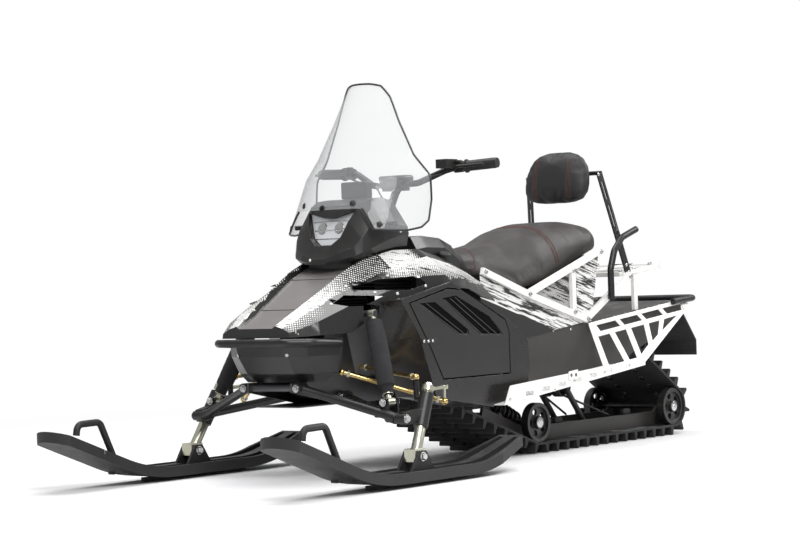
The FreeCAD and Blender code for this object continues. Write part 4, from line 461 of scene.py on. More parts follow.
class Paint(Enum):
    """The finishes of this machine, by what they are used on."""

    HOOD = Printed("Gloss hood moulding", (0.010, 0.009, 0.009), (0.017, 0.0155, 0.015), 0.27, coat=0.35,
                   grain_depth=0.03, dust=0.05, wear_and_highlight_colour=(0.12, 0.12, 0.12))
    # the centre panel's grey-brown, made lighter to stand in for the sky's reflection on it: own colour plus
    # painted reflection
    CENTRE_WITH_GLARE = Finish("Hood centre panel with painted glare", (0.150, 0.137, 0.134), (0.180, 0.167, 0.163), 0.36, coat=0.3,
                    grain_depth=0.04, dust=0.05, wear_and_highlight_colour=(0.14, 0.14, 0.14))
    DECAL = Printed("Printed side band", (0.012, 0.011, 0.011), (0.02, 0.019, 0.019), 0.42, dots=760.0,
                    cover=0.54, upright=1.0, wear_and_highlight_colour=(0.14, 0.14, 0.14))
    SMOKED = Finish("Smoked louver plastic", (0.010, 0.010, 0.011), (0.022, 0.021, 0.022), 0.20, coat=0.3,
                    grain_depth=0.02, wear_and_highlight_colour=(0.1, 0.1, 0.1))
    VINYL = Vinyl("Dark grey seat vinyl", (0.030, 0.026, 0.0245), (0.043, 0.038, 0.036), 0.46,
                  grain_scale=420.0, grain_depth=0.22, wear_and_highlight_colour=(0.09, 0.08, 0.08), dust=0.06)
    PADDING = Vinyl("Black pad vinyl", (0.009, 0.009, 0.0095), (0.016, 0.016, 0.0165), 0.50, grain_scale=420.0,
                    grain_depth=0.22, wear_and_highlight_colour=(0.08, 0.08, 0.08), dust=0.06)
    THREAD = Finish("Reddish seat thread", (0.22, 0.07, 0.05), (0.16, 0.05, 0.04), 0.7, grain_depth=0.2,
                    wear_and_highlight_colour=(0.35, 0.2, 0.18))
    SLEEVE = Fabric("Shock sleeve cloth", (0.016, 0.016, 0.018), (0.03, 0.03, 0.032), 0.85, grain_scale=2600.0,
                    grain_depth=0.6, wear_and_highlight_colour=(0.06, 0.06, 0.06), dust=0.15)
    # near black with little reflection: painted shade for vents and louver recesses
    SHADE_BLACK = Finish("Painted shade black", (0.0025, 0.0025, 0.0025), (0.004, 0.004, 0.004), 0.9, grain_depth=0.1,
                    wear_and_highlight=0.0, dust=0.0, ior=1.15)
    LAMP = Finish("Headlamp reflector", (0.80, 0.82, 0.84), (0.68, 0.70, 0.73), 0.16, metallic=0.35, coat=0.6,
                  grain_depth=0.02, wear_and_highlight_colour=(0.9, 0.9, 0.9), dust=0.02)
    GLASS = Clear("Clear windshield sheet", (0.58, 0.60, 0.61), 0.16)
    SCREEN = Finish("Instrument glass", (0.02, 0.025, 0.03), (0.03, 0.035, 0.04), 0.08, coat=0.8,
                    grain_depth=0.01)
    SATIN = Finish("Satin black moulding", (0.011, 0.010, 0.0095), (0.019, 0.0175, 0.017), 0.38,
                   coat=0.15, grain_depth=0.1, wear_and_highlight_colour=(0.14, 0.14, 0.14))
    COARSE = Finish("Coarse black plastic", (0.013, 0.013, 0.0135), (0.024, 0.024, 0.0245), 0.56,
                    grain_scale=420.0, grain_depth=0.3, wear_and_highlight=0.5, wear_and_highlight_colour=(0.16, 0.16, 0.16))
    TUBE = Finish("Black powder coat", (0.007, 0.007, 0.0075), (0.013, 0.013, 0.013), 0.36, grain_scale=1100.0,
                  grain_depth=0.18, wear_and_highlight=0.35, wear_and_highlight_colour=(0.3, 0.3, 0.31))
    WHITE = Finish("White powder coat", (0.82, 0.81, 0.79), (0.72, 0.71, 0.69), 0.42, grain_scale=1000.0,
                   grain_depth=0.12, mottle=0.3, wear_and_highlight=0.35, wear_and_highlight_colour=(0.35, 0.34, 0.33), dust=0.05)
    TUNNEL = Finish("Dark grey coated sheet", (0.036, 0.034, 0.032), (0.055, 0.052, 0.049), 0.48,
                    grain_depth=0.15, wear_and_highlight=0.4, wear_and_highlight_colour=(0.3, 0.3, 0.3), dust=0.2)
    RUBBER = Finish("Track rubber", (0.011, 0.011, 0.011), (0.028, 0.027, 0.026), 0.70, grain_scale=300.0,
                    grain_depth=0.5, wear_and_highlight=0.6, wear_and_highlight_colour=(0.08, 0.08, 0.078), dust=0.35, mottle=0.7)
    ZINC = Finish("Zinc plate", (0.60, 0.60, 0.50), (0.50, 0.48, 0.34), 0.3, metallic=0.9, grain_scale=1500.0,
                  grain_depth=0.05, mottle=0.6, wear_and_highlight_colour=(0.75, 0.75, 0.72))
    BRIGHT = Finish("Bright fastener steel", (0.62, 0.62, 0.62), (0.5, 0.5, 0.5), 0.24, metallic=1.0,
                    grain_depth=0.05, wear_and_highlight_colour=(0.8, 0.8, 0.8))
    GOLD = Finish("Gold passivated rod", (0.62, 0.44, 0.16), (0.50, 0.38, 0.20), 0.28, metallic=1.0,
                  grain_depth=0.05, mottle=0.6, wear_and_highlight_colour=(0.75, 0.65, 0.4))
    STEEL = Finish("Dark steel", (0.10, 0.10, 0.105), (0.16, 0.15, 0.15), 0.42, metallic=0.85, grain_depth=0.1,
                   wear_and_highlight_colour=(0.35, 0.35, 0.35))
    CAST = Finish("Cast aluminium", (0.34, 0.34, 0.35), (0.26, 0.26, 0.26), 0.55, metallic=0.6,
                  grain_scale=380.0, grain_depth=0.4, wear_and_highlight_colour=(0.5, 0.5, 0.5))
    RED = Finish("Red lamp plastic", (0.35, 0.01, 0.01), (0.25, 0.01, 0.01), 0.18, coat=0.4, dust=0.03)

    def material(self) -> bpy.types.Material:
        """Return the finish as a material, built once."""
        return self.value.material()


# Mesh tools

# corners nearer than this are one, in metres; faces that differ by less are one
WELD = 2e-5
FLAT_DEGREES = 0.6


def piece(name: str, shape: bmesh.types.BMesh, finish: Paint, body: str, slot: str = "",
          smooth: float = 35.0, outward: bool = True) -> bpy.types.Object:
    """Turn a bmesh into a piece that rides on a body.

    Args:
        name: The piece's name.
        shape: The mesh, freed here.
        finish: Its finish.
        body: The CAD body that it rides on.
        slot: The record's material slot; not used.
        smooth: Edges sharper than this many degrees stay sharp.
        outward: Whether to recalculate the normals.

    Returns:
        The new object.
    """
    if outward:
        bmesh.ops.recalc_face_normals(shape, faces=shape.faces)
    data = bpy.data.meshes.new(name)
    shape.to_mesh(data)
    shape.free()
    data.materials.append(finish.material())
    data.polygons.foreach_set("use_smooth", [True] * len(data.polygons))
    data.set_sharp_from_angle(angle=math.radians(smooth))
    made = bpy.data.objects.new(name, data)
    bpy.context.scene.collection.objects.link(made)
    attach(made, body)
    return made


def softened(node: str, name: str, finish: Paint, body: str, slot: str, width: float = 0.0015,
             segments: int = 2, angle: float = 24.0,
             tone: Callable[[Vector, Vector, Vector], float] | None = None,
             cuts: Sequence[tuple[Vector, Vector]] = ()) -> bpy.types.Object:
    """Stand a copy with rounded edges in for a CAD node.

    Args:
        node: The CAD node that is replaced.
        name: The piece's name.
        finish: Its finish.
        body: The body that it rides on.
        slot: The record's material slot; passed on to piece, which does not use it.
        width: Size of the rounding, in metres.
        segments: Steps of the rounding.
        angle: Edges sharper than this many degrees are rounded.
        tone: Gives the print's strength, for a printed finish.
        cuts: Planes where the print changes, each as a place in metres and a direction across it.

    Returns:
        The new piece.
    """
    shape = bmesh.new()
    shape.from_mesh(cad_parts[node].data)
    bmesh.ops.remove_doubles(shape, verts=shape.verts, dist=WELD)
    bmesh.ops.dissolve_limit(shape, angle_limit=math.radians(FLAT_DEGREES), verts=shape.verts,
                             edges=shape.edges)
    for place, across in cuts:
        bmesh.ops.bisect_plane(shape, geom=shape.verts[:] + shape.edges[:] + shape.faces[:], plane_co=place,
                               plane_no=across, dist=1e-5)
    if tone:
        paint_print(shape, tone)
    made = piece(name, shape, finish, body, slot, smooth=angle, outward=False)
    if width:
        round_edges(made, width, segments, angle)
    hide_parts(node)
    return made


def soften_all(rows: Sequence[tuple[str, str, Paint, str, float, int, float]], body: str = "chassis") -> None:
    """Stand a copy with rounded edges in for each CAD node of a table.

    Args:
        rows: For each: node, piece, finish, slot, size of the rounding in metres, its steps, and the angle
            in degrees from which an edge is rounded.
        body: The body that they ride on.
    """
    for node, name, finish, slot, width, segments, angle in rows:
        softened(node, name, finish, body, slot, width, segments, angle)


def round_edges(target: bpy.types.Object, width: float, segments: int = 2, angle: float = 30.0) -> None:
    """Round a piece's sharp edges with a bevel.

    Args:
        target: The piece.
        width: Size of the rounding, in metres.
        segments: Steps of the rounding.
        angle: Edges sharper than this many degrees are rounded.
    """
    rounding = target.modifiers.new("Rounded edges", "BEVEL")
    rounding.width = width
    rounding.segments = segments
    rounding.limit_method = "ANGLE"
    rounding.angle_limit = math.radians(angle)
    rounding.harden_normals = True
    rounding.use_clamp_overlap = True


def turned(profile: Sequence[tuple[float, float]], centre: Vector, axis: Vector,
           steps: int = 24) -> bmesh.types.BMesh:
    """Spin a profile into a round part.

    Args:
        profile: Radius and height along the axis of each corner, in metres.
        centre: Where height 0 lies.
        axis: Direction of the axis.
        steps: Sides of the round.

    Returns:
        The mesh.
    """
    shape = bmesh.new()
    dots = [shape.verts.new((radius, 0.0, height)) for radius, height in profile]
    edges = [shape.edges.new(pair) for pair in zip(dots, dots[1:])]
    bmesh.ops.spin(shape, geom=dots + edges, cent=(0, 0, 0), axis=(0, 0, 1), angle=math.tau, steps=steps,
                   use_merge=True)
    bmesh.ops.remove_doubles(shape, verts=shape.verts, dist=1e-6)
    turn = axis.to_track_quat("Z", "Y").to_matrix().to_4x4()
    bmesh.ops.transform(shape, matrix=Matrix.Translation(centre) @ turn, verts=shape.verts)
    return shape


def joined(shapes: Sequence[bmesh.types.BMesh]) -> bmesh.types.BMesh:
    """Put several meshes in one, freeing each."""
    whole = bmesh.new()
    for shape in shapes:
        carrier = bpy.data.meshes.new("carrier")
        shape.to_mesh(carrier)
        shape.free()
        whole.from_mesh(carrier)
        bpy.data.meshes.remove(carrier)
    return whole


def hexagon_bolt(place: Vector, out: Vector, across: float = 0.013, height: float = 0.006,
                 washer: float = 1.5) -> bmesh.types.BMesh:
    """A hexagon head on its washer.

    Args:
        place: Centre of the washer's seat.
        out: The way the head faces.
        across: Width of the head.
        height: Height of the head.
        washer: The washer's width as a multiple of the head's; 0 for none.

    Returns:
        The mesh.
    """
    shape = bmesh.new()
    corner = across * 0.577
    head = bmesh.ops.create_cone(shape, cap_ends=True, segments=6, radius1=corner, radius2=corner,
                                 depth=height, matrix=Matrix.Translation((0, 0, height / 2 + 0.0012)))
    top = [edge for edge in shape.edges if all(v.co.z > height for v in edge.verts)]
    bmesh.ops.bevel(shape, geom=top, offset=height * 0.2, affect="EDGES", segments=1, profile=0.5, material=-1)
    if washer:
        bmesh.ops.create_cone(shape, cap_ends=True, segments=18, radius1=across * washer / 2,
                              radius2=across * washer / 2 - 0.0003, depth=0.0012,
                              matrix=Matrix.Translation((0, 0, 0.0006)))
    turn = out.to_track_quat("Z", "Y").to_matrix().to_4x4()
    bmesh.ops.transform(shape, matrix=Matrix.Translation(place) @ turn, verts=shape.verts)
    return shape


def button_head(place: Vector, out: Vector, radius: float = 0.006, rise: float = 0.0028) -> bmesh.types.BMesh:
    """A domed rivet or button head with a small socket.

    Args:
        place: Centre of its seat.
        out: The way it faces.
        radius: Radius of the head.
        rise: Height of the dome.

    Returns:
        The mesh.
    """
    profile = [(0.0, rise * 0.72), (radius * 0.32, rise * 0.72), (radius * 0.36, rise),
               (radius * 0.7, rise * 0.82), (radius * 0.95, rise * 0.36), (radius, 0.0), (0.0, 0.0)]
    return turned(profile, place, out, 14)


def bent_tube(points: Sequence[Vector], radius: float, sides: int = 14, bend: float = 0.02,
              steps: int = 6) -> bmesh.types.BMesh:
    """A round tube along straight runs with rounded bends.

    Args:
        points: The corners of its middle line.
        radius: The tube's radius.
        sides: Sides of the round.
        bend: How far from each corner the bend starts, at most.
        steps: Rings in each bend.

    Returns:
        The mesh, with closed ends.
    """
    line = [points[0]]
    for before, here, after in zip(points, points[1:], points[2:]):
        reach = min(bend, (here - before).length * 0.49, (after - here).length * 0.49)
        start = here + (before - here).normalized() * reach
        end = here + (after - here).normalized() * reach
        for i in range(steps + 1):
            t = i / steps
            line.append(start * (1 - t) ** 2 + here * 2 * t * (1 - t) + end * t ** 2)
    line.append(points[-1])
    shape = bmesh.new()
    ahead = (line[1] - line[0]).normalized()
    turn = ahead.to_track_quat("Z", "Y").to_matrix().to_4x4()
    ring = bmesh.ops.create_circle(shape, cap_ends=False, segments=sides, radius=radius,
                                   matrix=Matrix.Translation(line[0]) @ turn)["verts"]
    edges = list({edge for v in ring for edge in v.link_edges})
    bmesh.ops.edgeloop_fill(shape, edges=edges)
    for i in range(1, len(line)):
        out = bmesh.ops.extrude_edge_only(shape, edges=edges)["geom"]
        edges = [g for g in out if isinstance(g, bmesh.types.BMEdge)]
        dots = [g for g in out if isinstance(g, bmesh.types.BMVert)]
        bmesh.ops.translate(shape, verts=dots, vec=line[i] - line[i - 1])
        after = (line[min(i + 1, len(line) - 1)] - line[i - 1]).normalized()
        swing = ahead.rotation_difference(after).to_matrix()
        bmesh.ops.rotate(shape, verts=dots, cent=line[i], matrix=swing)
        ahead = after
    bmesh.ops.edgeloop_fill(shape, edges=edges)
    return shape


def plate(corners: Sequence[Vector], thickness: Vector, rounding: float = 0.0) -> bmesh.types.BMesh:
    """A flat plate from the corners of one face.

    Args:
        corners: The corners in order.
        thickness: How far and which way it is thick.
        rounding: Radius of its upright corners.

    Returns:
        The mesh.
    """
    shape = bmesh.new()
    face = shape.faces.new([shape.verts.new(c) for c in corners])
    out = bmesh.ops.extrude_face_region(shape, geom=[face])["geom"]
    dots = [g for g in out if isinstance(g, bmesh.types.BMVert)]
    bmesh.ops.translate(shape, verts=dots, vec=thickness)
    if rounding:
        along = thickness.normalized()
        upright = [e for e in shape.edges
                   if abs((e.verts[0].co - e.verts[1].co).normalized().dot(along)) > 0.99]
        bmesh.ops.bevel(shape, geom=upright, offset=rounding, affect="EDGES", segments=4, profile=0.5,
                        material=-1)
    return shape


def block(low: Vector, high: Vector, rounding: float = 0.0) -> bmesh.types.BMesh:
    """A block between two corners, with rounded edges.

    Args:
        low: Its lowest corner.
        high: Its highest corner.
        rounding: Radius of its edges.

    Returns:
        The mesh.
    """
    shape = bmesh.new()
    bmesh.ops.create_cube(shape, size=1.0)
    bmesh.ops.scale(shape, vec=high - low, verts=shape.verts)
    bmesh.ops.translate(shape, vec=(low + high) / 2, verts=shape.verts)
    if rounding:
        bmesh.ops.bevel(shape, geom=shape.edges, offset=rounding, affect="EDGES", segments=3, profile=0.5,
                        material=-1)
    return shape


def mirrored(shape: bmesh.types.BMesh) -> bmesh.types.BMesh:
    """Return a right-hand copy of a left-hand mesh."""
    twin = shape.copy()
    bmesh.ops.scale(twin, vec=(1, -1, 1), verts=twin.verts)
    bmesh.ops.reverse_faces(twin, faces=twin.faces)
    return twin


TREES: dict[str, BVHTree] = {}


def landed(node: str, start: Vector, way: Vector) -> tuple[Vector, Vector]:
    """Find where a line first meets a CAD node.

    Args:
        node: The CAD node.
        start: Where the line starts, in metres.
        way: The line's direction.

    Returns:
        The place and the surface's outward normal; the start and the way back when nothing is met.
    """
    if node not in TREES:
        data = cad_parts[node].data
        TREES[node] = BVHTree.FromPolygons([v.co.copy() for v in data.vertices],
                                           [p.vertices for p in data.polygons])
    way = way.normalized()
    place, normal, index, distance = TREES[node].ray_cast(start, way)
    if place is None:
        LOG.warning("Nothing of %s lies below %s", node, tuple(round(c / MM) for c in start))
        return start, -way
    return place, normal if normal.dot(way) < 0 else -normal


def sided(spot: Sequence[float], side: int) -> Vector:
    """Return a place, given in millimetres on the left, on the left (1) or right (-1) side."""
    return vec(spot[0], spot[1] * side, spot[2])


def fasten(name: str, node: str, rows: Sequence[tuple], kind: Callable[..., bmesh.types.BMesh],
           finish: Paint, body: str = "chassis", twins: bool = True, **sizes: float) -> bpy.types.Object:
    """Set bolts or rivets on a node's surface.

    Args:
        name: The piece's name.
        node: The CAD node that they sit on.
        rows: For each: a place near it (x, y, z in millimetres) and the way to drop onto it.
        kind: hexagon_bolt or button_head.
        finish: Their finish.
        body: The body that they ride on.
        twins: Whether each has a twin on the right.
        sizes: Sizes for kind.

    Returns:
        The piece.
    """
    shapes = []
    for place, way in rows:
        for side in (1, -1) if twins else (1,):
            spot, normal = landed(node, sided(place, side), Vector((way[0], way[1] * side, way[2])))
            shapes.append(kind(spot, normal, **sizes))
    return piece(name, joined(shapes), finish, body)


def paint_print(shape: bmesh.types.BMesh, tone: Callable[[Vector, Vector, Vector], float]) -> None:
    """Write the print's strength into each corner.

    Args:
        shape: The mesh.
        tone: Gives the strength from a face's centre, its normal and the corner's place, all in millimetres.
    """
    layer = shape.loops.layers.float.new("print")
    for face in shape.faces:
        middle = face.calc_center_median() / MM
        for loop in face.loops:
            loop[layer] = tone(middle, face.normal, loop.vert.co / MM)


def between_rows(rows: Sequence[tuple[float, ...]], x: float, column: int) -> float:
    """Read a column of a table of sections at a place along the machine."""
    ordered = sorted(rows)
    if x <= ordered[0][0]:
        return ordered[0][column]
    for low, high in zip(ordered, ordered[1:]):
        if x <= high[0]:
            return low[column] + (high[column] - low[column]) * (x - low[0]) / (high[0] - low[0])
    return ordered[-1][column]


@dataclass
class BodyPanels:
    """Hood with its print, centre panel, pod, nose, side bodies and doors; places in millimetres."""

    # radius of the panels' bolts, in metres
    bolt: float = 0.0055
    # x, half width of the centre panel, crest, band and side of the hood
    lines: Rows = ((932, 70, 82, 112, 140), (846, 78, 92, 142, 188), (731, 94, 110, 158, 218),
                   (631, 104, 118, 168, 246), (540, 112, 124, 180, 268), (430, 140, 160, 205, 288),
                   (330, 160, 185, 225, 296), (200, 140, 165, 210, 282), (110, 132, 150, 192, 262),
                   (28, 122, 138, 172, 230))
    # x along the band, strength of its print
    band_tones: Rows = ((932, 0.97), (850, 0.97), (790, 0.66), (700, 0.38), (600, 0.32), (520, 0.36),
                        (492, 0.38), (484, 0.0), (480, 0.93), (400, 0.93), (372, 0.6), (350, 0.0))
    # the same for the print on the hood's flanks
    flank_tones: Rows = ((932, 0.0), (915, 0.50), (830, 0.34), (775, 0.0), (520, 0.0), (505, 0.55),
                         (440, 0.95), (300, 0.97), (60, 0.97), (28, 0.9))
    # x, y and z near each bolt on the hood's flanks
    bolt_places: Rows = ((615, 233, 593), (545, 269, 586), (426, 291, 607), (518, 208, 645), (449, 279, 637),
                         (761, 172, 561), (663, 153, 616), (425, 203, 693))
    # x, z, x and z of the ends of each louver's thin ribs
    louver_ribs: Rows = ((496, 548, 300, 448), (468, 551, 276, 448), (372, 561, 178, 442), (344, 565, 130, 440),
                         (318, 568, 92, 438))
    # x and z of each louver's corners
    louvers: tuple[Rows, ...] = (((506, 552), (423, 554), (250, 458), (256, 449), (308, 451)),
                                 ((384, 565), (311, 572), (132, 498), (66, 442), (186, 445)))

    def hood_tone(self, middle: Vector, normal: Vector, corner: Vector) -> float:
        """Give the print's strength at a corner of the hood."""
        x = middle.x
        across = abs(middle.y)
        if normal.z < 0.15 or x < 0:
            return 0.0
        crest, band, side = (between_rows(self.lines, x, i) for i in (2, 3, 4))
        if crest - 3 < across < band + 2:
            return between_rows(self.band_tones, corner.x, 1)
        if band < across < side + 2:
            share = (abs(corner.y) - between_rows(self.lines, corner.x, 3)) / 70.0
            fade = 0.62 if corner.x < 520 else 1.5
            return between_rows(self.flank_tones, corner.x, 1) * max(0.0, 1.0 - fade * share)
        return 0.0

    def hood(self) -> None:
        """Round the hood's edges, print its bands and paint its centre panel, whose colour is lightened as a
        painted reflection.
        """
        made = softened("hood", "Hood_skin", Paint.HOOD, "chassis", "gloss_black", 0.0035, 3, 14.0,
                        tone=self.hood_tone, cuts=[(vec(row[0], 0, 0), Vector((1, 0, 0)))
                                                   for row in self.band_tones + self.flank_tones])
        # the centre panel's lighter colour is partly a painted reflection
        made.data.materials.append(Paint.CENTRE_WITH_GLARE.material())
        for face in made.data.polygons:
            x, y, z = (c / MM for c in face.center)
            if face.normal.z > 0.5 and abs(y) < between_rows(self.lines, x, 1) + 1 and x > 20:
                face.material_index = 1
        seams = []
        for x, half in ((815, 76), (640, 98)):
            z = landed("hood", vec(x, 0, 900), Vector((0, 0, -1)))[0].z / MM
            seams.append(bent_tube([vec(x, -half, z + 0.2), vec(x, half, z + 0.2)], 0.0013, 8))
        for side in (1, -1):
            run = []
            for x in (905, 846, 790, 731, 680, 631):
                half = between_rows(self.lines, x, 1) - 4
                spot = landed("hood", vec(x, half * side, 900), Vector((0, 0, -1)))[0]
                run.append(spot + Vector((0, 0, 0.0002)))
            seams.append(bent_tube(run, 0.0013, 8))
        piece("Hood_seams", joined(seams), Paint.TUBE, "chassis")

    def vents(self) -> None:
        """Line the vents with slats set deep inside and baffles, all in near-black painted shade."""
        # near-black slats and baffles: painted shade inside the vents
        shade_slats = []
        # front x, rear x, lower and upper height of each vent
        for front, rear, low, high in ((752, 606, 556, 582), (650, 425, 600, 634)):
            for side in (1, -1):
                for i in range(3):
                    z = low + (high - low) * (i + 0.5) / 3
                    a = between_rows(self.lines, front, 3) + 6
                    b = between_rows(self.lines, rear, 3) + 20
                    shade_slats.append(plate([vec(front, (a - 8) * side, z), vec(rear, (b - 8) * side, z),
                                        vec(rear, (b + 10) * side, z - 5), vec(front, (a + 10) * side, z - 5)],
                                       Vector((0, 0, -0.0015))))
        # x and z of the baffles that close the view from one flank's vents to the other's; they are dark sheets
        # of painted shade
        baffle = ((780, 490), (780, 552), (731, 572), (631, 626), (540, 656), (420, 680), (420, 520))
        for y in (-70, 70):
            shade_slats.append(plate([vec(x, y, z) for x, z in baffle], vec(0, 2, 0)))
        piece("Vent_shade_slats", joined(shade_slats), Paint.SHADE_BLACK, "chassis")

    def build(self) -> None:
        """Build the panels and their fastenings."""
        self.hood()
        self.vents()
        soften_all((("lamp_pod", "Pod_skin", Paint.SATIN, "gloss_black", 0.005, 3, 16.0),
                    ("nose_pan", "Nose_skin", Paint.SATIN, "gloss_black", 0.004, 3, 14.0),
                    ("console", "Console_skin", Paint.SATIN, "black_plastic", 0.008, 4, 14.0)))
        self.base()
        for side in ("left", "right"):
            softened("side_body_" + side, "Side_skin_" + side, Paint.HOOD, "chassis", "gloss_black",
                     0.003, 3, 20.0)
            softened("side_door_" + side, "Door_skin_" + side, Paint.SATIN, "door_" + side,
                     "gloss_black", 0.0012, 3, 24.0)
        flanks = [((x, y + 16, z + 20), (0, -0.8, -1)) for x, y, z in self.bolt_places]
        fasten("Hood_bolts", "hood", flanks, button_head, Paint.WHITE, radius=self.bolt)
        fasten("Pod_bolts", "lamp_pod", [((400, 230, 790), (0, -1, 0))], button_head, Paint.WHITE,
               radius=self.bolt)
        fasten("Chin_bolt", "lamp_pod", [((700, -38, 703), (-1, 0, 0))], button_head, Paint.WHITE, twins=False,
               radius=self.bolt)
        fasten("Nose_bolts", "nose_pan", [((1000, 104, 406), (-1, 0, 0))], button_head, Paint.WHITE,
               radius=self.bolt)
        self.doors()

    def base(self) -> None:
        """Print the sides of the seat base: a broad band below the long bar, a mesh inside the triangles."""
        place, along = vec(20, 0, 646), Vector((-626, 0, -182)).normalized()
        across = Vector((-along.z, 0, along.x))
        if across.z < 0:
            across = -across

        def tone(middle: Vector, normal: Vector, corner: Vector) -> float:
            """Give the print's strength at a corner of the base."""
            if abs(normal.y) < 0.6:
                return 0.0
            height = (middle * MM - place).dot(across) / MM
            if height > 4:
                return 0.46 if middle.x > -560 else 0.9
            return 0.97 if height > -84 else 0.0

        cuts = [(place + across * (MM * h), across) for h in (4, -84)] + [(vec(-560, 0, 0), Vector((1, 0, 0)))]
        softened("seat_base", "Base_skin", Paint.DECAL, "chassis", "black_plastic", 0.003, 3, 20.0,
                 tone=tone, cuts=cuts)

    def doors(self) -> None:
        """Strap rivets, louver ribs and louver panels of the service doors; the panels are flat plates of
        painted shade for the louvers' dark recesses.
        """
        for side, name in ((1, "left"), (-1, "right")):
            rivets = [button_head(vec(x, 329.8 * side, 429.5), Vector((0, side, 0)), 0.0052, 0.0026)
                      for x in (447, 470, 493)]
            piece("Strap_rivets_" + name, joined(rivets), Paint.BRIGHT, "door_" + name)
            ribs = []
            for x, z, x2, z2 in self.louver_ribs:
                ribs.append(bent_tube([vec(x, 324.3 * side, z), vec(x2, 324.3 * side, z2)], 0.0018, 8))
            piece("Louver_ribs_" + name, joined(ribs), Paint.SMOKED, "door_" + name)
            # flat near-black plates on the door: painted shade of the louvers' recesses and slots
            shade_panels = []
            for corners in self.louvers:
                shade_panels.append(plate([vec(x, 323.6 * side, z) for x, z in corners],
                                    Vector((0, 0.0004 * side, 0))))
            piece("Louver_shade_panels_" + name, joined(shade_panels), Paint.SHADE_BLACK, "door_" + name)


@dataclass
class Windscreen:
    """The clear sheet with its black edge trim and bolts; places in millimetres."""

    # height, radius of the curved sheet there
    rings: Rows = ((780, 252), (972, 248), (1040, 190), (1160, 136), (1287, 98))
    # x and z of the front line's foot and top
    foot: tuple[float, float] = (590.0, 862.0)
    top: tuple[float, float] = (375.0, 1287.0)
    # x and z of the sheet's edge seen from the side, from the notch down and round to the top
    edge: Rows = ((548, 866), (546, 796), (500, 791), (450, 790), (385, 800), (345, 822), (325, 890),
                  (322, 968), (333, 1043), (337, 1150), (338, 1240), (350, 1278), (368, 1286),
                  (373, 1286.6), (375.3, 1287))
    # x and z of the bolts
    bolts: Rows = ((528, 812), (556, 884), (588, 872))
    # places on the trim from one corner of the edge to the next
    steps: int = 6

    def on_sheet(self, x: float, z: float, side: int) -> Vector:
        """Place a point of the side view on the curved sheet."""
        share = (z - self.foot[1]) / (self.top[1] - self.foot[1])
        front = self.foot[0] + (self.top[0] - self.foot[0]) * share
        radius = between_rows(self.rings, z, 1)
        reach = x - (front - radius)
        y = math.sqrt(max(0.0, radius ** 2 - reach ** 2))
        return vec(x, y * side, z)

    def build(self) -> None:
        """Build the sheet, its trim and its fastenings."""
        softened("windshield", "Screen_sheet", Paint.GLASS, "chassis", "clear_screen", 0.0, 0, 30.0)
        trims = []
        for side in (1, -1):
            run = []
            for (x, z), (x2, z2) in zip(self.edge, self.edge[1:]):
                for i in range(self.steps):
                    share = i / self.steps
                    run.append(self.on_sheet(x + (x2 - x) * share, z + (z2 - z) * share, side))
            run.append(self.on_sheet(*self.edge[-1], side))
            trims.append(bent_tube(run, 0.0034, 8, 0.004, 2))
        piece("Screen_trim", joined(trims), Paint.TUBE, "chassis", "black_plastic")
        bolts = []
        for x, z in self.bolts:
            for side in (1, -1):
                spot = self.on_sheet(x, z, side)
                out = Vector((spot.x - 0.36, spot.y, 0.05)).normalized()
                bolts.append(turned([(0.0, 0.004), (0.007, 0.004), (0.010, 0.002), (0.0105, 0.0), (0.0, 0.0)],
                                    spot + out * 0.0002, out, 18))
        piece("Screen_bolts", joined(bolts), Paint.COARSE, "chassis")


class Lamps:
    """Headlamp, tail lamp and instrument."""

    @staticmethod
    def lens_x(z: float) -> float:
        """Return where the headlamp's sloping face stands at a height, in millimetres."""
        return 566 - (z - 742) * 38 / 126

    def build(self) -> None:
        """Build each lamp's inside and cover."""
        softened("headlamp", "Headlamp_body", Paint.LAMP, "chassis", "lamp_clear", 0.003, 3, 30.0)
        ribs = []
        # height and half width of the ribs on the lens
        for z, half in ((772, 56), (800, 66), (828, 78)):
            x = self.lens_x(z) + 0.6
            ribs.append(bent_tube([vec(x, -half, z), vec(x, half, z)], 0.0018, 8))
        for side in (1, -1):
            ribs.append(turned([(0.0, 0.001), (0.014, 0.001), (0.018, 0.003), (0.020, 0.0), (0.0, 0.0)],
                               vec(self.lens_x(806), 36 * side, 806), Vector((1, 0, 0.3)).normalized(), 24))
        piece("Headlamp_optics", joined(ribs), Paint.BRIGHT, "chassis")
        soften_all((("tail_lamp", "Tail_lens", Paint.RED, "lamp_red", 0.002, 3, 30.0),
                    ("instrument", "Instrument_body", Paint.SATIN, "black_plastic", 0.005, 3, 30.0)))
        face = plate([vec(391.6, -46, 914), vec(391.6, 46, 914), vec(391.6, 46, 954), vec(391.6, -46, 954)],
                     Vector((-0.0008, 0, 0)), 0.004)
        piece("Instrument_glass", face, Paint.SCREEN, "chassis")


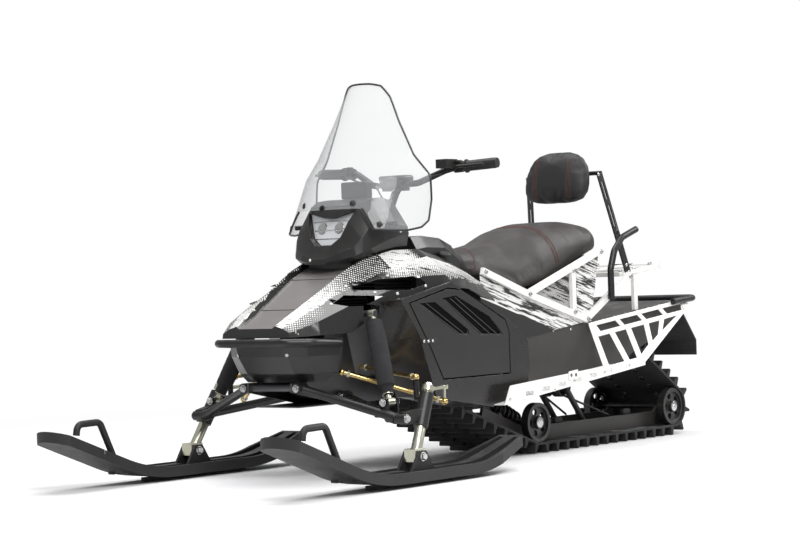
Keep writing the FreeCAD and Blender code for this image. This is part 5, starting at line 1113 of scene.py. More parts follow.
@dataclass
class SoftPart:
    """A padded part: a crowned form that is blown up a little as cloth, then stitched."""

    name: str
    finish: Paint
    # mesh size of the cloth and the most that it may swell, in metres
    voxel: float
    rise: float
    # frames that the cloth runs, its pressure and its stiffness
    frames: int = 20
    pressure: float = 4.0
    stiffness: float = 22.0

    def ring(self, centre: Vector, across: Vector, up: Vector, low: float, high: float, wide: float,
             square: float, count: int = 40) -> list[Vector]:
        """Return a rounded section.

        Args:
            centre: Middle of the section.
            across: Direction of its width.
            up: Direction of its height.
            low: How far it reaches down.
            high: How far it reaches up.
            wide: Half its width.
            square: 2 for an ellipse, more for squarer corners.
            count: Corners of the ring.

        Returns:
            Its corners.
        """
        spots = []
        for i in range(count):
            angle = math.tau * i / count
            c, s = math.cos(angle), math.sin(angle)
            a = math.copysign(abs(c) ** (2 / square), c) * wide
            b = math.copysign(abs(s) ** (2 / square), s)
            spots.append(centre + across * a + up * (b * (high if b > 0 else low)))
        return spots

    def skin(self, rings: Sequence[Sequence[Vector]]) -> bmesh.types.BMesh:
        """Cover a row of rings and close both ends."""
        shape = bmesh.new()
        rows = [[shape.verts.new(spot) for spot in ring] for ring in rings]
        for row, after in zip(rows, rows[1:]):
            for i in range(len(row)):
                j = (i + 1) % len(row)
                shape.faces.new((row[i], row[j], after[j], after[i]))
        shape.faces.new(reversed(rows[0]))
        shape.faces.new(rows[-1])
        return shape

    def swell(self, made: bpy.types.Object, held: Callable[[Vector], float]) -> None:
        """Blow the part up as cloth, hold back what moves too far, and keep the result.

        Args:
            made: The part.
            held: Gives how firmly a vertex is held, from 0 to 1, from its place in millimetres.
        """
        remesh = made.modifiers.new("Even mesh", "REMESH")
        remesh.mode = "VOXEL"
        remesh.voxel_size = self.voxel
        self.keep(made)
        before = [v.co.copy() for v in made.data.vertices]
        grip = made.vertex_groups.new(name="Held")
        for vertex in made.data.vertices:
            grip.add([vertex.index], held(vertex.co / MM), "REPLACE")
        cloth = made.modifiers.new("Stuffing", "CLOTH")
        cloth.settings.use_pressure = True
        cloth.settings.uniform_pressure_force = self.pressure
        cloth.settings.effector_weights.gravity = 0.0
        cloth.settings.vertex_group_mass = "Held"
        cloth.settings.tension_stiffness = self.stiffness
        cloth.settings.compression_stiffness = self.stiffness
        cloth.point_cache.frame_start = 1
        cloth.point_cache.frame_end = self.frames
        for frame_number in range(1, self.frames + 1):
            bpy.context.scene.frame_set(frame_number)
        self.keep(made)
        bpy.context.scene.frame_set(1)
        for vertex, old in zip(made.data.vertices, before):
            moved = vertex.co - old
            if moved.length > self.rise:
                vertex.co = old + moved.normalized() * self.rise
        smoother = made.modifiers.new("Even tension", "SMOOTH")
        smoother.factor = 0.5
        smoother.iterations = 6
        self.keep(made)

    @staticmethod
    def keep(made: bpy.types.Object) -> None:
        """Apply every modifier of a part."""
        graph = bpy.context.evaluated_depsgraph_get()
        data = bpy.data.meshes.new_from_object(made.evaluated_get(graph))
        made.modifiers.clear()
        old = made.data
        made.data = data
        bpy.data.meshes.remove(old)

    def finish_off(self, made: bpy.types.Object) -> None:
        fine = made.modifiers.new("Fine", "SUBSURF")
        fine.levels = 1
        fine.render_levels = 1
        made.data.polygons.foreach_set("use_smooth", [True] * len(made.data.polygons))

    def stitches(self, made: bpy.types.Object, lines: Sequence[Sequence[Vector]],
                 inward: Callable[[Vector], Vector], name: str) -> None:
        """Sew double rows of stitches along lines on the part, with a black line of painted shade along each
        seam's groove.

        Args:
            made: The part.
            lines: The corners of each seam, outside the part.
            inward: Gives the way onto the part from a place.
            name: The stitches' name.
        """
        graph = bpy.context.evaluated_depsgraph_get()
        skin = BVHTree.FromObject(made, graph)
        shapes = []
        groove_shades = []
        for line in lines:
            trail = []
            for start, end in zip(line, line[1:]):
                steps = max(2, int((end - start).length / 0.0075))
                for i in range(steps):
                    spot = start.lerp(end, i / steps)
                    place, normal, index, distance = skin.ray_cast(spot, inward(spot).normalized())
                    if place is not None:
                        trail.append((place, normal))
            for (a, normal), (b, other) in zip(trail, trail[1:]):
                along = b - a
                if along.length > 0.02 or along.length < 0.001:
                    continue
                side = along.cross(normal).normalized()
                for offset in (-0.005, 0.005):
                    low = a + along * 0.14 + side * offset + normal * 0.0003
                    high = a + along * 0.78 + side * offset + normal * 0.0003
                    shapes.append(bent_tube([low, high], 0.00075, 5))
            # a black tube along each seam stands for the shade in its groove: painted shade
            run = [place + normal * 0.0001 for place, normal in trail]
            if len(run) > 2:
                groove_shades.append(bent_tube(run, 0.0011, 6, 0.002, 1))
        piece(name, joined(shapes), Paint.THREAD, "chassis")
        piece(name + "_groove_shade", joined(groove_shades), Paint.TUBE, "chassis")


@dataclass
class Seat(SoftPart):
    """The two-person seat; places in millimetres."""

    name: str = "Saddle_cushion"
    finish: Paint = Paint.VINYL
    voxel: float = 0.006
    rise: float = 0.010
    # x, half width low, low, half width middle, height there, half width on top, top
    sections: Rows = ((-30, 72, 648, 84, 690, 60, 727), (-144, 110, 606, 124, 664, 72, 724),
                      (-262, 168, 574, 176, 644, 84, 742), (-389, 186, 603, 190, 694, 104, 784),
                      (-520, 180, 645, 186, 730, 122, 810), (-650, 166, 685, 174, 755, 128, 815),
                      (-748, 160, 713, 168, 764, 124, 814), (-786, 146, 722, 150, 758, 108, 795))
    # x of the front and rear end, and how many steps the form takes between them
    ends: tuple[float, float] = (-34, -782)
    steps: int = 40
    # x of each seam across, how far it leans forward at its foot
    seam_places: Rows = ((-118, 40), (-455, -20), (-470, -20))

    def section(self, x: float) -> list[Vector]:
        """Return the seat's rounded outline at a place along it."""
        low_w, low, mid_w, mid, top_w, top = (between_rows(self.sections, x, i) for i in range(1, 7))
        corners = [(low_w - 14, low), (low_w - 3, low), (low_w, low + 5),
                   (low_w + (mid_w - low_w) * 0.5, (low + mid) / 2), (mid_w - 3, mid),
                   (mid_w * 0.62 + top_w * 0.38 - 2, mid + (top - mid) * 0.5), (top_w, top - 9),
                   (top_w * 0.5, top - 3), (0.0, top - 2)]
        half = [vec(x, y, z) for y, z in corners]
        loop = half + [Vector((p.x, -p.y, p.z)) for p in reversed(half[:-1])]
        loop.append(vec(x, 0, low))
        return loop

    def build(self) -> None:
        """Build the cushion and its seams."""
        front, rear = self.ends
        rings = [self.section(front + (rear - front) * i / self.steps) for i in range(self.steps + 1)]
        made = piece(self.name, self.skin(rings), self.finish, "chassis", "vinyl", 80.0)
        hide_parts("seat")
        rounder = made.modifiers.new("Round", "SUBSURF")
        rounder.levels = 1
        rounder.render_levels = 1
        self.keep(made)
        self.swell(made, self.hold)
        self.finish_off(made)
        self.seams(made)

    def hold(self, spot: Vector) -> float:
        """Hold the underside, which rests on the seat base."""
        low = between_rows(self.sections, spot.x, 2)
        return 1.0 if spot.z < low + 22 else 0.0

    def seams(self, made: bpy.types.Object) -> None:
        """Run seams across the rider's and the passenger's parts."""
        lines = []
        for x, lean in self.seam_places:
            for side in (1, -1):
                low = between_rows(self.sections, x, 2) + 34
                wide = between_rows(self.sections, x, 3)
                top_w, top = between_rows(self.sections, x, 5), between_rows(self.sections, x, 6)
                over = [vec(x - lean * 0.4, 0, top + 60), vec(x - lean * 0.2, top_w * 0.7 * side, top + 60),
                        vec(x, (top_w + 40) * side, top + 30),
                        vec(x + lean * 0.5, (wide + 60) * side, top - 60),
                        vec(x + lean, (wide + 60) * side, low)]
                lines.append(over)
        self.stitches(made, lines, self.inward, "Saddle_stitches")

    def inward(self, spot: Vector) -> Vector:
        """Return the way from a place outside onto the seat's core."""
        x = spot.x / MM
        middle = (between_rows(self.sections, x, 2) + between_rows(self.sections, x, 4)) / 2
        return vec(x, 0, middle) - spot


@dataclass
class Backrest(SoftPart):
    """The pad of the backrest; places in millimetres."""

    name: str = "Backrest_cushion"
    finish: Paint = Paint.PADDING
    voxel: float = 0.005
    rise: float = 0.008
    # its middle; its depth, width and height
    place: Point = (-768, 0, 988)
    size: Point = (84, 290, 192)
    # share of the height from the middle, then half the width and half the depth as shares
    rows: Rows = ((-0.49, 0.30, 0.26), (-0.44, 0.42, 0.40), (-0.3, 0.48, 0.48), (-0.15, 0.49, 0.5),
                  (0.05, 0.48, 0.49), (0.2, 0.45, 0.47), (0.35, 0.38, 0.42), (0.43, 0.30, 0.35),
                  (0.485, 0.18, 0.2))
    # how far it leans back over its height, and how far the form stays inside its size
    lean: float = 0.16
    inset: float = 4
    # y of the upright seams; their x, which lies in front of the pad
    seam_places: tuple[float, ...] = (-82, -72, 72, 82)
    seam_x: float = -600

    def build(self) -> None:
        """Build the pad and its seams."""
        rings = []
        for share, wide, deep in self.rows:
            z = self.place[2] + self.size[2] * share
            x = self.place[0] - self.size[2] * share * self.lean
            depth = (self.size[0] * deep - self.inset) * MM
            rings.append(self.ring(vec(x, 0, z), Vector((0, 1, 0)), Vector((1, 0, 0)), depth, depth,
                                   (self.size[1] * wide - self.inset) * MM, 3.2))
        made = piece(self.name, self.skin(rings), self.finish, "chassis", "vinyl", 80.0)
        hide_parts("backrest_pad")
        self.swell(made, lambda spot: 1.0 if spot.x < self.place[0] - 34 else 0.0)
        self.finish_off(made)
        # share of a seam's y at each height
        heights = ((0.94, 908), (1.0, 960), (1.0, 1020), (0.9, 1066))
        lines = [[vec(self.seam_x, y * share, z) for share, z in heights] for y in self.seam_places]
        self.stitches(made, lines, lambda spot: Vector((-1, 0, 0)), "Pad_stitches")


@dataclass
class Chassis:
    """Tunnel, running boards, trusses, white frame, rack and the parts on them; places in millimetres."""

    # x at the front, underside height there; x and height at the rear corner of the running board
    board: tuple[float, float, float, float] = (121.0, 200.0, -748.0, 290.0)
    # rows of holes along the board and across it, y of the board's inner edge, its width
    holes_along: int = 9
    holes_across: int = 3
    board_inner: float = 205.3
    board_width: float = 164.7
    # places near the bolts of the white bars, the struts and the rack, on the left
    frame_bolts: Rows = ((5, 260, 646), (-250, 260, 564), (-524, 260, 640), (-524, 260, 492), (-606, 260, 464),
                         (-704, 260, 706), (-892, 260, 612))
    strut_bolts: Rows = ((-925, 260, 627), (-912, 260, 655), (-797, 260, 992))
    rack_bolts: Rows = ((-888, 182, 760), (-984, 182, 760), (-1190, 120, 760))
    # x of the rim's bolts and of the tunnel's rivets
    rim_bolts: tuple[float, ...] = (90, -100, -290, -480, -640)
    tunnel_rivets: tuple[float, ...] = (360, 250, 140, 30, -80, -190, -300, -410, -520)

    def board_z(self, x: float) -> float:
        """Return the underside of the running board."""
        x1, z1, x2, z2 = self.board
        return z1 + (x - x1) * (z2 - z1) / (x2 - x1)

    def build(self) -> None:
        """Finish the metalwork and set its fastenings."""
        soften_all((
            ("tunnel", "Tunnel_sheet", Paint.TUNNEL, "grey_aluminium", 0.0012, 2, 24.0),
            ("running_board_left", "Board_left", Paint.WHITE, "white_metal", 0.0007, 2, 24.0),
            ("running_board_right", "Board_right", Paint.WHITE, "white_metal", 0.0007, 2, 24.0),
            ("seat_frame", "Frame_bars", Paint.WHITE, "white_metal", 0.002, 3, 24.0),
            ("rear_rack", "Rack_plate", Paint.WHITE, "white_metal", 0.002, 3, 24.0),
            ("backrest_frame", "Backrest_struts", Paint.TUBE, "black_metal", 0.0012, 2, 24.0),
            ("snow_flap", "Flap", Paint.RUBBER, "rubber", 0.0012, 2, 24.0),
            ("tow_hitch", "Hitch", Paint.TUBE, "black_metal", 0.0015, 2, 24.0),
            ("rear_bumper", "Rear_bumper_tube", Paint.TUBE, "black_metal", 0.0008, 2, 40.0),
            ("grab_rails", "Grab_rails_tube", Paint.TUBE, "black_metal", 0.0008, 2, 40.0),
            ("front_bumper", "Front_bumper_tube", Paint.TUBE, "black_metal", 0.0008, 2, 40.0),
            ("front_frame", "Front_frame_tube", Paint.STEEL, "grey_aluminium", 0.0008, 2, 40.0),
            ("engine", "Engine_block", Paint.CAST, "engine_metal", 0.012, 4, 24.0)))
        self.bolts()
        self.teeth()
        self.flap_ribs()
        self.rack_parts()

    def bolts(self) -> None:
        """Bolts and rivets of the frame bars, the rims, the deck, the tunnel, the rack and the struts."""
        from_left, from_right, down = (0, -1, 0), (0, 1, 0), (0, 0, -1)
        bars = [(place, from_left) for place in self.frame_bolts]
        fasten("Frame_bolts", "seat_frame", bars, hexagon_bolt, Paint.BRIGHT, across=0.012, height=0.006)
        rims = [((x, 420, self.board_z(x) + 16), from_left) for x in self.rim_bolts]
        fasten("Rim_bolts", "running_board_left", rims, button_head, Paint.BRIGHT, twins=False, radius=0.006)
        twins = [((x, -420, z), from_right) for (x, y, z), way in rims]
        fasten("Rim_bolts_right", "running_board_right", twins, button_head, Paint.BRIGHT, twins=False,
               radius=0.006)
        deck = [((-660 - 78 * i, 195, 700), down) for i in range(8)]
        fasten("Deck_rivets", "tunnel", deck, button_head, Paint.BRIGHT, radius=0.005, rise=0.0022)
        side = [((x, 300, 430), from_left) for x in self.tunnel_rivets]
        fasten("Tunnel_rivets", "tunnel", side, button_head, Paint.BRIGHT, radius=0.005, rise=0.0022)
        rack = [(place, down) for place in self.rack_bolts]
        fasten("Rack_bolts", "rear_rack", rack, hexagon_bolt, Paint.BRIGHT, across=0.012, height=0.005)
        struts = [(place, from_left) for place in self.strut_bolts]
        fasten("Strut_bolts", "backrest_frame", struts, button_head, Paint.BRIGHT, radius=0.007)

    def teeth(self) -> None:
        """Raised grip teeth round the holes of the boards, and the two-hole bracket on each rim, its holes
        shown as dark discs of painted shade.
        """
        pitch = (self.board[0] - self.board[2]) / self.holes_along
        shapes = []
        for side in (1, -1):
            for i in range(self.holes_along):
                x = self.board[0] - pitch * (i + 0.5)
                for row in range(self.holes_across):
                    y = self.board_inner + self.board_width * (row + 0.6) / 3.4
                    for dx in (-26, -9, 9, 26):
                        for dy in (-11.5, 11.5):
                            z = self.board_z(x + dx) + 3
                            shapes.append(turned([(0.0032, 0.0), (0.0022, 0.0038), (0.0, 0.0038)],
                                                 vec(x + dx, (y + dy) * side, z), Vector((0, 0, 1)), 6))
            bracket = [vec(x, 370.4 * side, z) for x, z in ((-312, 266), (-256, 261), (-256, 292), (-312, 297))]
            shapes.append(plate(bracket, Vector((0, 0.003 * side, 0)), 0.004))
        piece("Grip_teeth", joined(shapes), Paint.WHITE, "chassis", "white_metal")
        # flat dark steel discs stand for the bracket's holes: painted shade
        hole_shades = []
        for side in (1, -1):
            for x in (-298, -270):
                hole_shades.append(turned([(0.0, 0.0002), (0.006, 0.0002), (0.0066, 0.0), (0.0, 0.0)],
                                    vec(x, 373.4 * side, 279), Vector((0, side, 0)), 16))
        piece("Bracket_hole_shades", joined(hole_shades), Paint.STEEL, "chassis")

    def flap_ribs(self) -> None:
        """Moulded ribs on the snow flap."""
        ribs = []
        for y in (-150, -100, -50, 50, 100, 150):
            run = [vec(-1290, y, 489), vec(-1396.6, y, 352), vec(-1397, y, 306)]
            ribs.append(bent_tube(run, 0.0022, 6, 0.02, 3))
        ribs.append(bent_tube([vec(-1397, -170, 318), vec(-1397, 170, 318)], 0.0025, 6))
        piece("Flap_ribs", joined(ribs), Paint.RUBBER, "chassis")

    def rack_parts(self) -> None:
        """Black buffers on the rack's middle."""
        pads = []
        for x in (-900, -1190):
            # the rack's top falls by 31 mm over 340 mm
            z = 612 + (x + 872) * -31 / 340 + 16
            pads.append(block(vec(x - 9, -40, z - 1), vec(x + 9, 40, z + 2.2), 0.0015))
        piece("Rack_buffers", joined(pads), Paint.COARSE, "chassis")


@dataclass
class Running:
    """Track, wheels and skid frame; places in millimetres."""

    # x, z and radius of the round places that the belt runs over
    rounds: Rows = ((-1223.0, 108.3, 70.0), (-335.0, 108.3, 70.0), (230.0, 312.0, 75.0), (-900.0, 322.0, 60.0))
    # x, z and y of the hub caps on the left
    caps: Rows = ((-1223, 108.3, 188), (-335, 108.3, 188), (-900, 322, 139))
    clip_count: int = 55
    # the axle that the torsion springs wind round: x, z
    spring_axle: tuple[float, float] = (-681, 210)
    # steps of a coil in one turn
    coil_steps: int = 14

    def spots(self, offset: float, count: int) -> list[tuple[Vector, Vector]]:
        """Spread places along the loop.

        Args:
            offset: How far outside the wheels, in millimetres.
            count: How many places.

        Returns:
            Each place in metres with the outward direction there.
        """
        rounds = [(x, z, r + offset) for x, z, r in self.rounds]
        slopes = []
        for (x, z, r), (x2, z2, r2) in zip(rounds, rounds[1:] + rounds[:1]):
            slopes.append(math.atan2(z2 - z, x2 - x) + math.asin((r - r2) / math.hypot(x2 - x, z2 - z)))
        dense = []
        for i, (x, z, r) in enumerate(rounds):
            first, last = slopes[i - 1], slopes[i]
            if last < first:
                last += math.tau
            # 40 steps along each round
            for j in range(41):
                angle = first + (last - first) * j / 40 - math.pi / 2
                dense.append((x + r * math.cos(angle), z + r * math.sin(angle)))
        dense.append(dense[0])
        lengths = [math.dist(a, b) for a, b in zip(dense, dense[1:])]
        total = sum(lengths)
        found = []
        for k in range(count):
            left = total * (k + 0.5) / count
            for (a, b), length in zip(zip(dense, dense[1:]), lengths):
                if left <= length:
                    share = left / length
                    way = Vector((b[1] - a[1], 0, a[0] - b[0])).normalized()
                    found.append((vec(a[0] + (b[0] - a[0]) * share, 0, a[1] + (b[1] - a[1]) * share), way))
                    break
                left -= length
        return found

    def build(self) -> None:
        """Finish the running gear."""
        soften_all((("track", "Track_belt", Paint.RUBBER, "rubber", 0.0016, 2, 30.0),
                    ("wheels_and_axles", "Wheel_sets", Paint.SATIN, "dark_steel", 0.001, 2, 40.0),
                    ("skid_frame", "Skid_rails", Paint.TUNNEL, "grey_aluminium", 0.0012, 2, 40.0)))
        clips = []
        for place, out in self.spots(0.3, self.clip_count):
            along = Vector((-out.z, 0, out.x))
            for y in (-0.074, 0.074):
                base = place + Vector((0, y, 0))
                corners = [base + along * a + Vector((0, b, 0)) for a, b in ((-0.011, -0.008), (0.011, -0.008),
                                                                          (0.011, 0.008), (-0.011, 0.008))]
                clips.append(plate(corners, -out * 0.0022, 0.002))
        piece("Track_clips", joined(clips), Paint.BRIGHT, "chassis")
        self.springs()
        hubs = []
        profile = [(0.0, 0.0035), (0.008, 0.0035), (0.0095, 0.0015), (0.017, 0.001), (0.019, 0.0), (0.0, 0.0)]
        for x, z, y in self.caps:
            for side in (1, -1):
                hubs.append(turned(profile, vec(x, y * side, z), Vector((0, side, 0)), 24))
        piece("Wheel_hub_caps", joined(hubs), Paint.BRIGHT, "chassis")

    def springs(self) -> None:
        """Coil spring of the skid's shock, torsion springs, rubber stops and cross tubes."""
        foot, head = vec(-520, 0, 66), vec(-40, 0, 296)
        along = (head - foot).normalized()
        side = Vector((0, 1, 0))
        up = along.cross(side)
        axle_x, axle_z = self.spring_axle
        wire = []
        steps = 11 * self.coil_steps
        for i in range(steps + 1):
            turn = math.tau * i / self.coil_steps
            round_wire = (side * math.cos(turn) + up * math.sin(turn)) * 0.030
            wire.append(foot + along * (0.096 + 0.28 * i / steps) + round_wire)
        parts = [bent_tube(wire, 0.0048, 8, 0.004, 1)]
        for y in (-30, 30):
            coil = []
            steps = 5 * self.coil_steps
            for i in range(steps + 1):
                turn = math.tau * i / self.coil_steps
                coil.append(vec(axle_x + 30 * math.cos(turn), y + (i / steps - 0.5) * 36,
                                axle_z + 30 * math.sin(turn)))
            parts.append(bent_tube(coil, 0.0042, 8, 0.004, 1))
            parts.append(bent_tube([vec(-690, y * 1.55, 181), vec(-905, y * 3.2, 96)], 0.0042, 8))
        piece("Skid_springs", joined(parts), Paint.TUBE, "chassis")
        stops = []
        for y in (-104, 104):
            for x in (-560, -1010):
                stops.append(block(vec(x - 24, y - 9, 90.6), vec(x + 24, y + 9, 112), 0.006))
        stops.append(turned([(0.0, -0.075), (0.014, -0.075), (0.014, 0.075), (0.0, 0.075)],
                            vec(axle_x, 0, axle_z), side, 18))
        piece("Skid_stops", joined(stops), Paint.RUBBER, "chassis")


@dataclass
class Suspension:
    """Arms, knuckles, shocks, links and spindles; places in millimetres, on the left."""

    # the shock's lower and upper eye
    low: Point = (728.0, 369.0, 250.0)
    top: Point = (652.0, 250.0, 526.0)
    # outer and inner end of the upper link and of the tie rod
    link: tuple[Point, Point] = ((628, 398, 322), (540, 106.3, 352))
    tie_rod: tuple[Point, Point] = ((528, 432, 240), (717.6, 170, 343))
    # the ski's bolt, the way from it up the spindle, and that way's length in metres
    foot: Point = (742, 475, 84)
    rise: Point = (-115, -30, 207)
    spindle_length: float = 0.2387
    # x and z of the arm's pivots, and the knuckle's bolt
    pivots: Rows = ((855, 299), (640, 262))
    knuckle: Point = (748, 452, 200)

    def shock(self) -> bmesh.types.BMesh:
        """Return the cloth sleeve of the left shock with the collars at its ends."""
        low, top = vec(*self.low), vec(*self.top)
        axis = (top - low).normalized()
        length = (top - low).length
        sleeve = [(0.0, length * 0.075), (0.014, length * 0.075), (0.0192, length * 0.09),
                  (0.0196, length * 0.15), (0.0215, length * 0.165), (0.0268, length * 0.178)]
        steps = 27
        for i in range(1, steps):
            share = 0.20 + 0.70 * i / steps
            bulge = 0.0270 + 0.0003 * math.sin(i * 2.1) + 0.0022 * math.sin(math.pi * i / steps)
            sleeve.append((bulge, length * share))
        sleeve += [(0.0268, length * 0.903), (0.0225, length * 0.912), (0.0, length * 0.918)]
        return turned(sleeve, low, axis, 36)

    def build(self) -> None:
        """Build the suspension's visible parts."""
        soften_all((("arms_and_knuckles", "Arms", Paint.TUBE, "black_metal", 0.0015, 2, 30.0),
                    ("upper_links", "Links", Paint.GOLD, "gold_rods", 0.0004, 2, 40.0)))
        left = self.shock()
        piece("Shock_sleeves", joined([mirrored(left), left]), Paint.SLEEVE, "chassis", "shock_cover")
        softened("shock_absorbers", "Shock_rods", Paint.ZINC, "chassis", "shock_cover", 0.0006, 2, 40.0)
        for side in ("left", "right"):
            softened("spindle_" + side, "Spindle_steel_" + side, Paint.ZINC, "spindle_" + side,
                     "zinc", 0.0015, 2, 30.0)
            softened("tie_rod_" + side, "Tie_rod_bar_" + side, Paint.GOLD, "tie_rod_" + side,
                     "gold_rods", 0.0004, 2, 40.0)
        self.ends()
        self.straps()

    @staticmethod
    def lock_nuts(rod: tuple[Point, Point], side: int) -> list[bmesh.types.BMesh]:
        """Return the lock nuts behind both ends of a rod."""
        a, b = (sided(end, side) for end in rod)
        way = (b - a).normalized()
        return [hexagon_bolt(a + way * 0.016, way, 0.019, 0.010, 0),
                hexagon_bolt(b - way * 0.016, -way, 0.019, 0.010, 0)]

    def ends(self) -> None:
        """Lock nuts of the rod ends and the nuts on top of the spindles."""
        nuts = self.lock_nuts(self.link, 1) + self.lock_nuts(self.link, -1)
        piece("Link_nuts", joined(nuts), Paint.ZINC, "chassis")
        for side, name in ((1, "left"), (-1, "right")):
            piece("Tie_rod_nuts_" + name, joined(self.lock_nuts(self.tie_rod, side)), Paint.ZINC,
                  "tie_rod_" + name)
            king = Vector((self.rise[0], self.rise[1] * side, self.rise[2])).normalized()
            top = sided(self.foot, side) + king * self.spindle_length * 0.96
            nut = hexagon_bolt(top + king * 0.012, king, 0.024, 0.010, 1.35)
            piece("Spindle_nut_" + name, joined([nut]), Paint.BRIGHT, "spindle_" + name)

    def straps(self) -> None:
        """Bolt heads at the shock eyes, the arm pivots and the knuckles."""
        heads = []
        for side in (1, -1):
            for x in (-0.0335, 0.0335):
                heads.append(hexagon_bolt(sided(self.low, side) + Vector((x, 0, 0)),
                                          Vector((math.copysign(1, x), 0, 0)), 0.017, 0.007))
            for x, z in self.pivots:
                heads.append(hexagon_bolt(vec(x + 22, 112 * side, z), Vector((1, 0, 0)), 0.017, 0.007))
                heads.append(hexagon_bolt(vec(x - 22, 112 * side, z), Vector((-1, 0, 0)), 0.017, 0.007))
            heads.append(hexagon_bolt(sided(self.knuckle, side), Vector((0, side, 0)), 0.019, 0.008))
        piece("Arm_bolts", joined(heads), Paint.BRIGHT, "chassis")


@dataclass
class Skis:
    """Plastic skis with their ribs and bolts; places in millimetres."""

    # y of the left ski's middle; its bolt's x and z, and how far out the bolt's heads sit
    middle: float = 475
    bolt: tuple[float, float] = (742, 84)
    heads: float = 32

    def build(self) -> None:
        """Finish each ski and set its parts."""
        for side, name in ((1, "left"), (-1, "right")):
            body = "ski_" + name
            softened(body, "Ski_plastic_" + name, Paint.COARSE, body, "ski_plastic", 0.003, 3, 28.0)
            shapes = []
            for i in range(9):
                x = 880 + 24 * i
                rise = max(0, x - 990)
                for y in ((self.middle - 46) * side, (self.middle + 46) * side):
                    shapes.append(block(vec(x, y - 14, 26 + rise * 0.05), vec(x + 5, y + 14, 33 + rise * 0.12),
                                        0.0012))
            piece("Ski_ribs_" + name, joined(shapes), Paint.COARSE, body)
            x, z = self.bolt
            bolts = []
            for way in (1, -1):
                spot = vec(x, (self.middle + self.heads * way) * side, z)
                bolts.append(hexagon_bolt(spot, Vector((0, side * way, 0)), 0.02, 0.009))
            piece("Ski_bolts_" + name, joined(bolts), Paint.BRIGHT, body)


@dataclass
class Controls:
    """Handlebar, grips, levers, switches and hoses; places in millimetres, on the left."""

    # outer end of the grip, and the place where the bar bends towards its middle
    grip: Point = (136, 385, 1008)
    bend: Point = (154, 205, 1000)
    rib_count: int = 14
    # where the hoses go on the way down from the bar
    hose: tuple[Point, Point] = ((232, 60, 950), (236, 30, 905))

    def build(self) -> None:
        """Finish the bar and build the controls on it."""
        soften_all((("handlebar", "Bar", Paint.TUBE, "black_metal", 0.0008, 2, 40.0),
                    ("hand_controls", "Control_blocks", Paint.SATIN, "black_plastic", 0.003, 3, 30.0)),
                   "steering")
        ribs, hoses = [], []
        for side in (1, -1):
            end = sided(self.grip, side)
            way = (sided(self.bend, side) - end).normalized()
            for i in range(self.rib_count):
                ribs.append(turned([(0.0165, -0.0022), (0.0182, -0.0010), (0.0182, 0.0010), (0.0165, 0.0022)],
                                   end + way * (0.010 + 0.0078 * i), way, 24))
            ribs.append(turned([(0.0165, -0.003), (0.023, -0.002), (0.023, 0.002), (0.0165, 0.003)],
                               end + way * 0.119, way, 28))
            perch = end + way * 0.150
            run = [perch + Vector((0.02, 0, -0.01)), perch + Vector((0.055, -0.07 * side, -0.03))]
            run += [sided(spot, side) for spot in self.hose]
            hoses.append(bent_tube(run, 0.0035, 8, 0.03, 6))
        piece("Grip_ribs", joined(ribs), Paint.RUBBER, "steering", "rubber")
        piece("Hoses", joined(hoses), Paint.RUBBER, "steering", "rubber")
        cover = block(vec(170, -60, 962), vec(224, 60, 984), 0.010)
        piece("Bar_pad", cover, Paint.SATIN, "steering", "black_plastic")
        switches = [block(vec(146, 222, 1014), vec(170, 250, 1024), 0.003),
                    block(vec(146, -246, 1014), vec(168, -226, 1026), 0.004)]
        piece("Switches", joined(switches), Paint.COARSE, "steering")
        cap = [(0.0, 0.034), (0.016, 0.034), (0.021, 0.029), (0.021, 0.004), (0.017, 0.0), (0.0, 0.0)]
        piece("Fuel_cap", turned(cap, vec(118, 134, 684), Vector((0.1, 0.25, 1.0)), 28),
              Paint.COARSE, "chassis")


# Studio


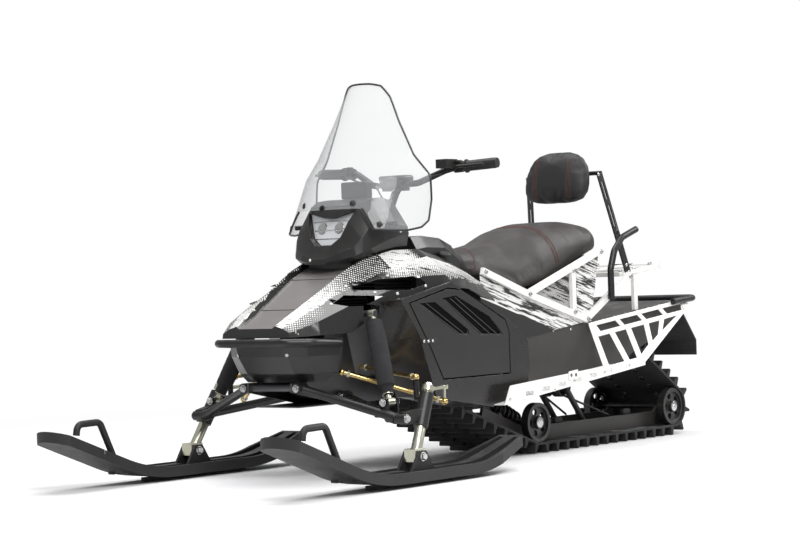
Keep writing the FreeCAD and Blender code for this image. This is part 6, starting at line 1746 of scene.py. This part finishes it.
@dataclass
class Studio:
    """Camera, pale floor and soft lights."""

    place: Vector = field(default_factory=lambda: vec(6359.4, 4940.4, 645.4))
    yaw: float = -141.306
    pitch: float = 0.199
    roll: float = -1.970
    lens: float = 104.47
    sensor: float = 36.0

    def camera(self) -> None:
        """Stand the camera where the photograph was taken from."""
        yaw, pitch, roll = (math.radians(a) for a in (self.yaw, self.pitch, self.roll))
        ahead = Vector((math.cos(pitch) * math.cos(yaw), math.cos(pitch) * math.sin(yaw), math.sin(pitch)))
        right = Vector((math.sin(yaw), -math.cos(yaw), 0.0))
        up = right.cross(ahead)
        tilted_right = right * math.cos(roll) + up * math.sin(roll)
        tilted_up = up * math.cos(roll) - right * math.sin(roll)
        data = bpy.data.cameras.new("Camera")
        data.lens = self.lens
        data.sensor_width = self.sensor
        data.clip_end = 200.0
        made = bpy.data.objects.new("Camera", data)
        made.matrix_world = Matrix.Translation(self.place) @ Matrix(
            (tilted_right, tilted_up, -ahead)).transposed().to_4x4()
        bpy.context.scene.collection.objects.link(made)
        bpy.context.scene.camera = made

    def floor(self) -> None:
        """Lay a plain pale floor."""
        shape = bmesh.new()
        bmesh.ops.create_grid(shape, x_segments=1, y_segments=1, size=60.0)
        bmesh.ops.translate(shape, verts=shape.verts, vec=(0, 0, -0.0015))
        data = bpy.data.meshes.new("Floor")
        shape.to_mesh(data)
        shape.free()
        made = bpy.data.objects.new("Floor", data)
        bpy.context.scene.collection.objects.link(made)
        pale = bpy.data.materials.new("Pale floor")
        pale.use_nodes = True
        nodes = NodeTree(pale.node_tree)
        shader = pale.node_tree.nodes["Principled BSDF"]
        shader.inputs["Roughness"].default_value = 0.9
        place = nodes.add("TexCoord").outputs["Object"]
        away = nodes.add("VectorMath", operation="LENGTH")
        nodes.wire(place, away, 0)
        far = nodes.ramp(away.outputs["Value"], 1.6, 4.2)
        near = nodes.mix(nodes.noise(place, 2.0), (0.84, 0.84, 0.85), (0.88, 0.88, 0.89))
        nodes.wire(nodes.mix(far, near, (0.0, 0.0, 0.0)), shader, "Base Color")
        rays = nodes.add("LightPath")
        seen = nodes.math("MULTIPLY_ADD", rays.outputs["Is Camera Ray"], 0.5, 0.5)
        nodes.wire(nodes.math("MULTIPLY", far, seen), shader, "Emission Strength")
        shader.inputs["Emission Color"].default_value = (1.0, 1.0, 1.0, 1.0)
        shader.inputs["Specular IOR Level"].default_value = 0.0
        data.materials.append(pale)

    def lamp(self, name: str, place: Point, size: float, power: float, target: Point = (0.0, 0.0, 0.5)) -> None:
        """Hang one soft lamp.

        Args:
            name: The lamp's name.
            place: Where it hangs, in metres.
            size: Its width.
            power: Its power in watts.
            target: Where it shines.
        """
        data = bpy.data.lights.new(name, "AREA")
        data.shape = "DISK"
        data.size = size
        data.energy = power
        made = bpy.data.objects.new(name, data)
        made.location = place
        made.rotation_euler = (Vector(target) - Vector(place)).to_track_quat("-Z", "Y").to_euler()
        bpy.context.scene.collection.objects.link(made)

    def world(self) -> None:
        """Fill with soft sky light, and show white behind the object and in its reflections."""
        world = bpy.data.worlds.new("Studio")
        world.use_nodes = True
        bpy.context.scene.world = world
        nodes = NodeTree(world.node_tree)
        back = world.node_tree.nodes["Background"]
        rays = nodes.add("LightPath")
        seen = nodes.math("MAXIMUM", rays.outputs["Is Camera Ray"], rays.outputs["Is Transmission Ray"])
        back.inputs["Color"].default_value = (1.0, 1.0, 1.0, 1.0)
        nodes.wire(nodes.math("MULTIPLY_ADD", seen, 0.55, 0.45), back, "Strength")

    def build(self) -> None:
        """Set up the whole studio."""
        self.camera()
        self.floor()
        self.lamp("Key", (3.5, 4.5, 5.0), 3.5, 350.0)
        self.lamp("Rim", (-4.0, 2.5, 4.0), 3.0, 170.0)
        self.lamp("Top", (0.0, -1.0, 5.5), 4.0, 190.0)
        self.world()
        bpy.context.scene.view_settings.view_transform = "Standard"


SUBASSEMBLIES = (BodyPanels, Windscreen, Lamps, Seat, Backrest, Chassis, Running, Suspension, Skis, Controls)


def main() -> None:
    """Build each sub-assembly in order, then the studio."""
    logging.basicConfig(level=logging.INFO, format="%(message)s")
    for kind in SUBASSEMBLIES:
        LOG.info("Building %s", kind.__name__)
        kind().build()
    Studio().build()


if __name__ == "__main__":
    main()
